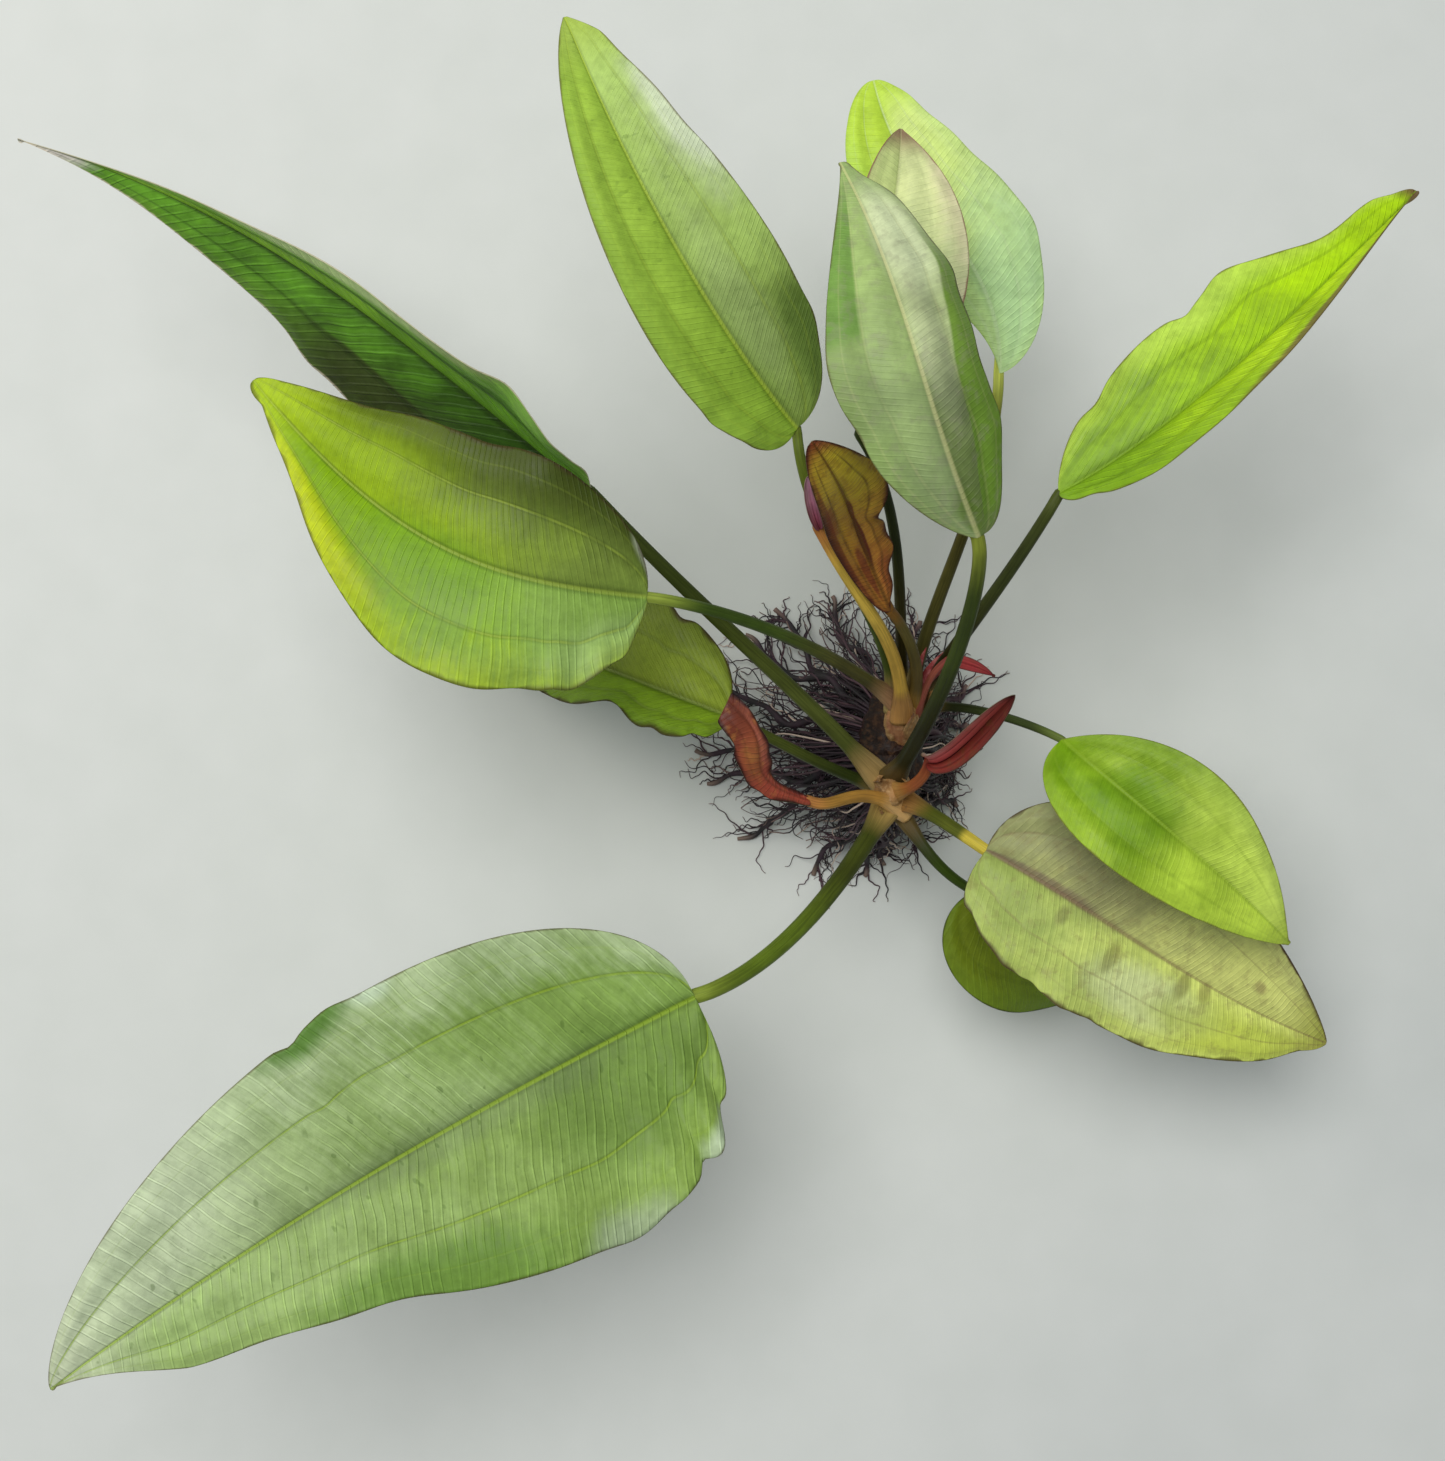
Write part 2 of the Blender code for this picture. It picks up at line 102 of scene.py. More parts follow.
@dataclass
class Leaf:
    """One leaf. A pair of values is for the left half of the blade and the right half.

    base_round and tip_taper are the powers in the outline's formula. fold lifts a half, in degrees,
    and curl bends it down again. roll turns the blade about its midrib, in degrees at its base and
    tip. In mm, lobe is how far the base reaches back, ruffle how high the margin's waves are, blunt
    the radius of the tip, tip_skew how far the tip's left side is cut back, and sheath how far the
    foot of the stalk reaches. A bump is (which margin, where along it, how far it spreads, mm
    outwards, mm upwards).
    """

    name: str
    stalk: list
    stalk_width: float
    midrib: list
    half_width: tuple
    base_round: tuple = (0.42, 0.42)
    tip_taper: tuple = (0.78, 0.78)
    fold: tuple = (8.0, 8.0)
    curl: tuple = (0.0, 0.0)
    lobe: tuple = (0.0, 0.0)
    ruffle: tuple = (0.6, 0.6)
    waves: float = 2.5
    roll: tuple = (0.0, 0.0)
    bumps: tuple = ()
    blunt: float = 0.4
    tip_skew: float = 0.0
    sheath: float = 10.0

    def __post_init__(self):
        self.midrib = [self.stalk[3], *self.midrib]


LEAVES = [
    Leaf(
        "front_left_leaf", stalk_width=4.4,
        stalk=[(36, -16, 44), (24.5, -32, 58), (10.5, -45, 75), (-5.4, -52.7, 88)],
        midrib=[(-44.5, -72, 100), (-83.9, -94.2, 112), (-123.9, -121.5, 118)],
        half_width=(34.8, 31.3), base_round=(0.37, 0.48), tip_taper=(1.17, 0.72),
        bumps=(
            (LEFT, 0.04, 0.012, -2.2, -1.6),
            (LEFT, 0.07, 0.014, 0.6, 2.2),
            (LEFT, 0.1, 0.012, -1.6, -1.4),
            (LEFT, 0.15, 0.02, 0.0, 1.6),
            (LEFT, 0.23, 0.05, 1.6, -0.8),
            (LEFT, 0.57, 0.07, -1.7, 0),
            (LEFT, 0.85, 0.1, 3.2, 0),
            (RIGHT, 0.47, 0.03, 0.9, 0),
            (RIGHT, 0.53, 0.015, -1, 0),
        ),
        blunt=0.5, ruffle=(1.6, 1.2), waves=3.5,
    ),
    Leaf(
        "left_leaf", stalk_width=3.1,
        stalk=[(38, 6, 46), (23.5, 14.5, 66), (5.5, 21.5, 86), (-14.5, 25.7, 100)],
        midrib=[(-38.6, 29.2, 108), (-63, 40.8, 106), (-91.2, 68.1, 96)],
        half_width=(23.2, 23.1), base_round=(0.63, 0.53), tip_taper=(1.11, 0.73),
        bumps=(
            (LEFT, 0.05, 0.02, 1.3, 0),
            (LEFT, 0.11, 0.02, -0.5, 1.0),
            (LEFT, 0.16, 0.02, 0.5, -0.8),
            (LEFT, 0.21, 0.02, -0.5, 1.0),
            (LEFT, 0.28, 0.06, -1.6, 0),
            (LEFT, 0.54, 0.1, 1.3, 0),
            (LEFT, 0.84, 0.08, -0.9, 0),
            (RIGHT, 0.74, 0.07, 0.8, 0),
            (RIGHT, 0.54, 0.07, -0.7, 0),
        ),
        blunt=1.8, ruffle=(1.0, 1.0), waves=3.0, sheath=14.0,
    ),
    Leaf(
        "far_left_leaf", stalk_width=3.7,
        stalk=[(33, -9, 44), (14.5, 9, 56), (-5.9, 27.8, 66), (-27, 48.9, 72)],
        midrib=[(-60.8, 75.4, 80), (-99, 102.1, 74), (-148.5, 124.5, 60)],
        half_width=(21.5, 19.4), base_round=(0.33, 0.75), tip_taper=(1.3, 2.11),
        bumps=(
            (LEFT, 0.5, 0.04, 1.4, 0),
            (LEFT, 0.965, 0.03, 0.5, 0),
            (RIGHT, 0.965, 0.03, 0.5, 0),
            (RIGHT, 0.2, 0.035, 0.8, -2),
            (RIGHT, 0.11, 0.03, 0, 1.2),
            (RIGHT, 0.04, 0.02, 1.0, -1.0),
        ),
        roll=(-50, -50), fold=(16, 30), blunt=0.6, ruffle=(0.8, 0.8), waves=3.0,
    ),
    Leaf(
        "low_left_leaf", stalk_width=2.9,
        stalk=[(33, -12, 40), (21, -7, 50), (11, -2, 56), (1, 3, 58)],
        midrib=[(-22, 12, 56), (-47, 22, 36), (-76, 35, 0.7)],
        half_width=(12, 18),
        bumps=(
            (LEFT, 0.29, 0.05, -3.8, 0),
            (LEFT, 0.12, 0.05, 0.9, 0),
            (LEFT, 0.05, 0.015, 0.9, 0.6),
            (LEFT, 0.085, 0.012, -0.9, -0.5),
            (LEFT, 0.18, 0.02, -0.9, 0.7),
            (RIGHT, 0.23, 0.03, -1.3, 0),
            (RIGHT, 0.33, 0.05, 0.9, 0),
        ),
        roll=(18, 5), fold=(24, 6), blunt=1.0, ruffle=(1.6, 0.8), waves=4.0,
    ),
    Leaf(
        "back_leaf", stalk_width=2.8,
        stalk=[(37, 8, 48), (30, 24.5, 70), (20, 40, 90), (14.4, 58.3, 98)],
        midrib=[(-1.7, 78.5, 112), (-16.6, 104, 118), (-29.6, 133.5, 112)],
        half_width=(15.5, 16.6), base_round=(0.41, 0.46), tip_taper=(0.81, 0.76),
        bumps=(
            (LEFT, 0.1, 0.025, -0.5, 0.9),
            (LEFT, 0.17, 0.025, 0.5, -0.7),
            (RIGHT, 0.2, 0.05, 0.6, 0),
            (RIGHT, 0.7, 0.06, -0.5, 0),
            (RIGHT, 0.95, 0.05, 1.0, 0),
        ),
        fold=(28, 6), ruffle=(0.5, 0.5),
    ),
]
print("leaves on the left:", [leaf.name for leaf in LEAVES])

# %% [markdown]
# The leaves on the right are smaller and stand closer together. Where two blades cross, as seen
# from above, one of them stands higher, so that they never touch.

# %% Leaves on the right
LEAVES += [
    Leaf(
        "tall_right_leaf", stalk_width=3.7,
        stalk=[(37, -10, 46), (42.5, 3, 72), (47, 20.5, 100), (47.2, 35.5, 118)],
        midrib=[(37.3, 59.8, 128), (30.5, 81.6, 126), (21.9, 106.3, 112)],
        half_width=(15.9, 12.4), base_round=(0.79, 0.36), tip_taper=(1.14, 0.47),
        bumps=(
            (LEFT, 0.3, 0.06, -0.9, 0),
            (LEFT, 0.48, 0.08, 0.6, 0),
            (RIGHT, 0.2, 0.07, 1.2, 0),
            (RIGHT, 0.7, 0.06, 1.3, 0),
            (RIGHT, 0.96, 0.04, -2, 0),
            (RIGHT, 0.4, 0.08, -0.7, 0),
        ),
        fold=(2, -8), curl=(0.0, 0.03), ruffle=(0.8, 0.3),
    ),
    Leaf(
        "middle_right_leaf", stalk_width=2.7,
        stalk=[(40, 8, 42), (37.5, 24, 60), (34.5, 41.5, 78), (26.8, 57.9, 93)],
        midrib=[(29.4, 77.7, 98), (32.5, 97.8, 100), (34.5, 116.4, 98)],
        half_width=(8.6, 16.3), base_round=(0.79, 1), tip_taper=(0.74, 0.99),
        fold=(25, 5), ruffle=(0.4, 0.4),
    ),
    Leaf(
        "back_right_leaf", stalk_width=3.0,
        stalk=[(41, 8, 46), (45.5, 28, 62), (52.3, 49, 72), (56, 72.3, 78)],
        midrib=[(50.7, 91.3, 84), (39.2, 108.1, 87), (30, 129.3, 86)],
        half_width=(13, 14.2), base_round=(1.28, 0.66), tip_taper=(0.73, 0.75),
        bumps=(
            (RIGHT, 0.38, 0.07, 0.8, 0),
            (RIGHT, 0.66, 0.08, -0.7, 0),
            (RIGHT, 0.92, 0.05, 0.9, 0),
        ),
        blunt=3.2, ruffle=(0.5, 0.5),
    ),
    Leaf(
        "far_right_leaf", stalk_width=3.2,
        stalk=[(43, 6, 44), (48, 16, 58), (56.5, 29.5, 74), (67.1, 47.1, 85)],
        midrib=[(88, 61, 90), (112.7, 82.1, 86), (141.5, 110, 75)],
        half_width=(16.1, 14.6), base_round=(0.67, 0.67), tip_taper=(0.82, 1.4),
        bumps=(
            (LEFT, 0.22, 0.05, -1.1, 0),
            (LEFT, 0.65, 0.055, 2.5, 0),
            (LEFT, 0.53, 0.03, -1, 0),
            (LEFT, 0.82, 0.07, -2.1, 0),
            (LEFT, 0.95, 0.05, 1.4, 0),
            (RIGHT, 0.09, 0.03, -1.5, 0),
            (RIGHT, 0.23, 0.06, 1, 0),
            (RIGHT, 0.48, 0.08, -0.9, 0),
        ),
        roll=(-12, -12), fold=(-4, 53), blunt=1.7, ruffle=(1.4, 0.6), waves=3.0,
    ),
    Leaf(
        "right_leaf", stalk_width=2.3,
        stalk=[(42, 4, 42), (50, 5, 52), (60, 2.5, 64), (69.6, -1.8, 72)],
        midrib=[(83.8, -14.8, 80), (100.6, -29.2, 78), (117.9, -44.4, 66)],
        half_width=(14.6, 13.9), base_round=(0.96, 0.43), tip_taper=(1.16, 0.84),
        blunt=0.5, ruffle=(0.4, 0.4),
    ),
    Leaf(
        "front_right_leaf", stalk_width=3.6,
        stalk=[(39, -15, 44), (45, -18, 50), (51, -22, 55), (55.7, -25.3, 58)],
        midrib=[(79.9, -39.8, 60), (103.8, -54.6, 54), (131.6, -68.1, 44)],
        half_width=(23.8, 20.1), base_round=(0.51, 0.37), tip_taper=(0.8, 0.72), lobe=(3.0, 3.0),
        bumps=(
            (RIGHT, 0.6, 0.08, 0.9, 0),
            (RIGHT, 0.03, 0.02, 1, 0),
            (RIGHT, 0.07, 0.02, -0.7, 0),
            (RIGHT, 0.94, 0.05, -1.2, 0),
            (RIGHT, 0.19, 0.025, 0.6, 0.5),
            (RIGHT, 0.27, 0.02, -0.6, -0.4),
            (RIGHT, 0.35, 0.025, 0.5, 0.5),
            (RIGHT, 0.43, 0.02, -0.4, 0),
        ),
        ruffle=(0.8, 0.8),
    ),
    Leaf(
        "low_right_leaf", stalk_width=2.9,
        stalk=[(39, -18, 40), (43, -24, 42), (48, -30, 42), (55.6, -35.5, 38)],
        midrib=[(62.2, -46.2, 32), (77.9, -52.2, 20), (92.9, -64, 0.7)],
        half_width=(13, 15.3), base_round=(0.42, 0.87), tip_taper=(0.8, 1.2),
        ruffle=(0.5, 0.5),
    ),
]
print("leaves so far:", len(LEAVES))

# %% [markdown]
# Young leaves come up in the middle of each crown. They are narrow and still rolled or folded along
# the midrib, which the large fold angles give.

# %% Young leaves
LEAVES += [
    Leaf(
        "young_left_leaf", stalk_width=3.2,
        stalk=[(35, -15, 49), (28, -14, 58), (23, -15, 64), (18.2, -14.7, 68)],
        midrib=[(8.3, -9.1, 75), (7.2, -2.9, 81), (0.9, 5.7, 84)],
        half_width=(4.9, 2.3), base_round=(0.25, 0.25), tip_taper=(0.06, 0.06),
        bumps=(
            (LEFT, 0.3, 0.06, -0.7, 0.5),
            (LEFT, 0.62, 0.08, 0.6, -0.6),
            (RIGHT, 0.45, 0.07, 0.6, -0.5),
            (RIGHT, 0.8, 0.09, -0.8, 0),
        ),
        roll=(50, -10), fold=(12, 12), ruffle=(0.9, 0.6), tip_skew=0.7, sheath=8.0,
    ),
    Leaf(
        "young_back_leaf", stalk_width=2.9,
        stalk=[(41, 7, 50), (40.5, 14, 62), (37.5, 20, 72), (34, 24, 80)],
        midrib=[(26.6, 38.8, 92), (22.7, 45.6, 104), (16.6, 53.9, 114)],
        half_width=(6.8, 8.1), base_round=(0.45, 1.15), tip_taper=(0.41, 0.72),
        bumps=(
            (RIGHT, 0.06, 0.045, 2.0, 0),
            (RIGHT, 0.2, 0.06, 1.7, 0.4),
            (RIGHT, 0.43, 0.07, -2.6, 0.9),
            (RIGHT, 0.65, 0.08, 1.3, -0.4),
        ),
        fold=(20, 10), ruffle=(0.3, 1.2), waves=2.0, sheath=8.0,
    ),
    Leaf(
        "young_right_leaf", stalk_width=3.1,
        stalk=[(38, -13, 50), (40, -12, 55), (42, -10, 59), (43.3, -6.7, 63)],
        midrib=[(48, -4.4, 72), (53.5, 2, 81), (57.7, 7, 90)],
        half_width=(4.6, 4), base_round=(0.29, 0.5), tip_taper=(0.57, 0.52),
        fold=(50, 50), ruffle=(0.2, 0.2), sheath=8.0,
    ),
    Leaf(
        "small_right_leaf", stalk_width=2.0,
        stalk=[(42.5, 5, 48), (43.5, 9.5, 54), (45, 12.5, 57.5), (47.6, 15, 59.5)],
        midrib=[(50.8, 14.1, 62), (54, 12.9, 63), (57.1, 11.3, 62)],
        half_width=(1.7, 1.7), base_round=(0.5, 0.6), tip_taper=(1.0, 1.1),
        fold=(35, 35), ruffle=(0.1, 0.1), sheath=8.0,
    ),
    Leaf(
        "furled_back_leaf", stalk_width=3.1,
        stalk=[(38.5, 6, 51), (34.5, 17.5, 68), (27.5, 27, 82), (19, 39.5, 92)],
        midrib=[(17.7, 42.5, 95), (16.8, 46, 98), (16.5, 49, 100)],
        half_width=(2.5, 2.5), base_round=(0.5, 0.5), tip_taper=(0.5, 0.5),
        fold=(60, 60), ruffle=(0.1, 0.1), sheath=8.0,
    ),
]
print("leaves:", len(LEAVES), "bumps:", sum(len(leaf.bumps) for leaf in LEAVES))

# %% [markdown]
# ## Curves
# Every stalk and midrib is one cubic curve through four points. Writing the cubic out gives the
# whole curve at once, as an array: there is no need to place a Blender curve and convert it.


# %% Curves
def through_four_points(points, t):
    """The cubic that passes through four points at t = 0, 1/3, 2/3 and 1, as an array of places."""
    t = np.asarray(t, float)[:, None]
    a, b, c, d = np.asarray(points, float)
    return (
        a * (1 - 3 * t) * (1 - 1.5 * t) * (1 - t)
        + b * 9 * t * (1 - 1.5 * t) * (1 - t)
        - c * 4.5 * t * (1 - 3 * t) * (1 - t)
        + d * t * (1 - 3 * t) * (1 - 1.5 * t)
    )


def unit(vectors):
    """Each vector divided by its own length."""
    return vectors / np.maximum(np.linalg.norm(vectors, axis=-1, keepdims=True), 1e-9)


def frame_along(path):
    """Directions along a path, to its left, and up from it, one of each for every point."""
    ahead = unit(np.gradient(path, axis=-2))
    left = unit(np.cross([0.0, 0.0, 1.0], ahead))
    return ahead, left, np.cross(ahead, left)


def run_length(path):
    """The distance covered so far at each point of a path: the running sum of its steps."""
    steps = np.linalg.norm(np.diff(path, axis=0), axis=1)
    return np.concatenate([[0.0], np.cumsum(steps)])


def smooth(x, low, high):
    """0 below low, 1 above high, and the cubic 3x^2 - 2x^3 between them."""
    x = np.clip((np.asarray(x, float) - low) / (high - low), 0, 1)
    return x * x * (3 - 2 * x)


def full_turn(count):
    """So many angles, evenly spaced around a full turn."""
    return np.arange(count) * 2 * np.pi / count


def tube_rings(paths, left, up, wide, tall):
    """Rings around paths: path + wide * cos(angle) * left + tall * sin(angle) * up.

    wide and tall are arrays of half widths, with one value for each ring and each angle around it.
    """
    angle = full_turn(wide.shape[-1])
    sideways = (wide * np.cos(angle))[..., None] * left[..., None, :]
    upwards = (tall * np.sin(angle))[..., None] * up[..., None, :]
    return paths[..., None, :] + sideways + upwards


longest = max(run_length(through_four_points(leaf.midrib, np.linspace(0, 1, 50)))[-1] for leaf in LEAVES)
print("longest midrib in mm:", round(longest))

# %% [markdown]
# ## One closed skin
# Blades, stalks, roots and the rhizome are all the same kind of surface: rings of points, one after
# another, with a single point that closes each end. One function makes the mesh of every piece, so
# that no seam or pole is ever left open. It also stores named values on the points, which the
# materials read later to know where on the leaf they are.


# %% Mesh from rings
def closed_skin(name, rings, ends, fields, finish):
    """One mesh of tubes: rings is an array of (tube, ring, point, xyz) in mm, ends of (tube, 2, xyz).

    Neighbouring rings are joined by quads and each end is a fan of triangles. The signed volume,
    the sum of a . (b x c) / 6 over all triangles, says whether the faces point outwards.
    """
    tubes, count, around = rings.shape[:3]
    each = count * around + 2
    points = np.concatenate([rings.reshape(tubes, -1, 3), ends], axis=1)
    here = np.arange((count - 1) * around).reshape(count - 1, around)
    beside = np.roll(here, -1, axis=1)
    quads = np.stack([here, beside, beside + around, here + around], -1).reshape(-1, 4)
    first, last = np.arange(around), np.arange(around) + (count - 1) * around
    fans = np.concatenate([
        np.stack([np.roll(first, -1), first, np.full(around, each - 2)], -1),
        np.stack([last, np.roll(last, -1), np.full(around, each - 1)], -1),
    ])
    corners = np.concatenate([quads[:, :3], quads[:, [0, 2, 3]], fans])
    a, b, c = (points[0, corners[:, k]] for k in range(3))
    if np.einsum("ij,ij->", a - points[0, 0], np.cross(b - points[0, 0], c - points[0, 0])) < 0:
        quads, fans = quads[:, ::-1], fans[:, ::-1]
    shift = np.arange(tubes)[:, None, None] * each
    quads = (quads + shift).reshape(-1, 4)
    fans = (fans + shift).reshape(-1, 3)
    mesh = bpy.data.meshes.new(name)
    places = ((points.reshape(-1, 3) + SHIFT) * MM).tolist()
    mesh.from_pydata(places, [], quads.tolist() + fans.tolist())
    mesh.shade_smooth()
    for field_name, values in fields.items():
        values = values.reshape(tubes, -1, 3)
        closing = np.stack([values[:, :around].mean(1), values[:, -around:].mean(1)], axis=1)
        stored = mesh.attributes.new(field_name, "FLOAT_VECTOR", "POINT")
        whole = np.concatenate([values, closing], axis=1)
        stored.data.foreach_set("vector", whole.astype(np.float32).ravel())
    mesh.materials.append(finish)
    piece = bpy.data.objects.new(name, mesh)
    bpy.context.scene.collection.objects.link(piece)
    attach(piece, "root")
    return piece


def triangle_count(piece):
    """A face of n corners is n - 2 triangles."""
    return sum(len(face.vertices) - 2 for face in piece.data.polygons)


# %% [markdown]
# ## Node recipes
# A material is a small calculation that Blender repeats for every point it shades. Wiring dozens of
# nodes one by one is slow to read, so this helper adds a node for each step and returns its output.
# A paint chart's colours are for screens; a shader wants amounts of light, so they are converted.


# %% Node helper
def light(chart):
    """Amounts of light for a chart colour: x / 12.92 when small, else ((x + 0.055) / 1.055)^2.4."""
    x = np.array([int(chart[k : k + 2], 16) / 255 for k in (0, 2, 4)])
    return (*np.where(x <= 0.04045, x / 12.92, ((x + 0.055) / 1.055) ** 2.4), 1.0)


class Recipe:
    """The nodes of one material. Each call adds a node and gives back what comes out of it."""

    def __init__(self, name):
        self.material = bpy.data.materials.new(name)
        self.material.use_nodes = True
        self.tree = self.material.node_tree
        self.shader = self.tree.nodes["Principled BSDF"]

    def put(self, socket, value):
        """Links an output to a socket, or sets the socket to a plain value."""
        if isinstance(value, bpy.types.NodeSocket):
            self.tree.links.new(value, socket)
        else:
            socket.default_value = value

    def math(self, operation, first, *others):
        """The operation on the first value, then on that result and each of the other values."""
        for value in others or (0.0,):
            node = self.tree.nodes.new("ShaderNodeMath")
            node.operation = operation
            self.put(node.inputs[0], first)
            self.put(node.inputs[1], value)
            first = node.outputs[0]
        return first

    def times(self, *values):
        return self.math("MULTIPLY", *values)

    def plus(self, *values):
        return self.math("ADD", *values)

    def minus(self, a, b):
        return self.math("SUBTRACT", a, b)

    def band(self, x, low, high, start=0.0, stop=1.0):
        """start below low, stop above high, and a smooth step between."""
        node = self.tree.nodes.new("ShaderNodeMapRange")
        node.interpolation_type = "SMOOTHSTEP"
        for socket, value in zip(node.inputs, (x, low, high, start, stop)):
            self.put(socket, value)
        return node.outputs[0]

    def mix(self, share, a, b, blend="MIX"):
        """Colour a turned into colour b by the given share."""
        node = self.tree.nodes.new("ShaderNodeMix")
        node.data_type, node.blend_type = "RGBA", blend
        self.put(node.inputs["Factor"], share)
        for socket, value in zip((node.inputs[6], node.inputs[7]), (a, b)):
            self.put(socket, light(value) if isinstance(value, str) else value)
        return node.outputs[2]

    def shade(self, colour, tone):
        """The colour times a plain number: over 1 is lighter, under 1 is darker."""
        return self.mix(1.0, colour, self.join(tone, tone, tone), "MULTIPLY")

    def field(self, name):
        """The three values that were stored on the points under this name."""
        node = self.tree.nodes.new("ShaderNodeAttribute")
        node.attribute_name = name
        parts = self.tree.nodes.new("ShaderNodeSeparateXYZ")
        self.tree.links.new(node.outputs["Vector"], parts.inputs[0])
        return parts.outputs

    def place(self, scale=(1.0, 1.0, 1.0)):
        """Where the point is on the object, in metres, stretched by scale."""
        node = self.tree.nodes.new("ShaderNodeTexCoord")
        stretch = self.tree.nodes.new("ShaderNodeMapping")
        stretch.inputs["Scale"].default_value = scale
        self.tree.links.new(node.outputs["Object"], stretch.inputs[0])
        return stretch.outputs[0]

    def join(self, x, y, z=0.0):
        """Three numbers as one place or one colour."""
        node = self.tree.nodes.new("ShaderNodeCombineXYZ")
        for socket, value in zip(node.inputs, (x, y, z)):
            self.put(socket, value)
        return node.outputs[0]

    def noise(self, where, scale, detail=2.0, rough=0.5):
        """Soft cloudy noise, about 0.5 on average. scale is how many clouds a unit of where holds."""
        node = self.tree.nodes.new("ShaderNodeTexNoise")
        self.put(node.inputs["Vector"], where)
        node.inputs["Scale"].default_value = scale
        node.inputs["Detail"].default_value = detail
        node.inputs["Roughness"].default_value = rough
        return node.outputs[0]

    def surface(self, colour, rough, shine=0.5):
        """The shader's colour, how matt it is, and how strongly it mirrors."""
        for name, value in (("Base Color", colour), ("Roughness", rough), ("Specular IOR Level", shine)):
            self.put(self.shader.inputs[name], value)

    def bump(self, height, distance, strength):
        """Relief that is only seen in the light: distance is its depth in metres."""
        node = self.tree.nodes.new("ShaderNodeBump")
        node.inputs["Strength"].default_value = strength
        node.inputs["Distance"].default_value = distance
        self.put(node.inputs["Height"], height)
        self.put(self.shader.inputs["Normal"], node.outputs[0])


print("chart colour 8aa86a as light:", [round(float(part), 3) for part in light("8aa86a")])

# %% [markdown]
# ## Colours of each leaf
# The leaves of one plant are all green and all different: old ones are olive, young ones are red,
# and one half of a blade is often darker because it turns away from the light; where it shows, that
# shade is painted into the half's colours. A look lists the colours as in a paint chart. Each half
# has one near the base and one near the tip. Patches are soft spots of another colour, placed one by
# one: some are painted sheen and shade, the rest are the leaf's own marks, such as a bruise. Where a
# half bends away from the light or towards it beyond some line, a turned strip paints its light and
# shade into the colour there.


# %% Looks on the left
@dataclass
class Look:
    """Colours of one leaf, and how strongly each mark shows, from 0 to 1.

    left and right are each half's colours near the base and near the tip. edges are the colours of
    the two margins, and edge_share is how much of them shows. tip comes in from tip_from on. stalk
    runs from the sheath to the blade, and its last colour comes in over stalk_top. rim is the line
    along the margin, rim_width mm wide at most. vein colours the midrib (vein_share) and the side
    veins (side_share), and groove_shade is the painted shade in the grooves beside them. lines are the
    fine cross veins, line_gap mm apart, which lean by slant. spot colours the flecks (spots) and the
    blots (mottle). gloss is the roughness.

    A patch is (along, across, reach along, reach across, colour, share, softness of its border); some
    patches are painted sheen and shade, the rest are the leaf's own marks. A turned strip paints the
    light and shade of a part of one half that turns towards or away from the light: (half, its line at
    the base, its line at the tip, from, to, colour, share).
    """

    left: tuple
    right: tuple
    edges: tuple
    tip: str
    stalk: tuple
    edge_share: tuple = (0.6, 0.6)
    tip_from: float = 0.9
    stalk_top: tuple = (0.82, 1.0)
    rim: str = "4a3a20"
    rim_share: float = 0.7
    rim_width: float = 0.62
    vein: str = "a3b64a"
    vein_share: float = 0.6
    side_share: float = 0.4
    groove_shade: float = 0.3
    lines: float = 0.3
    line_gap: float = 1.2
    slant: tuple = (0.42, 0.42)
    spot: str = "44611c"
    spots: float = 0.0
    mottle: float = 0.12
    gloss: float = 0.46
    turned: tuple = ()
    patches: tuple = ()


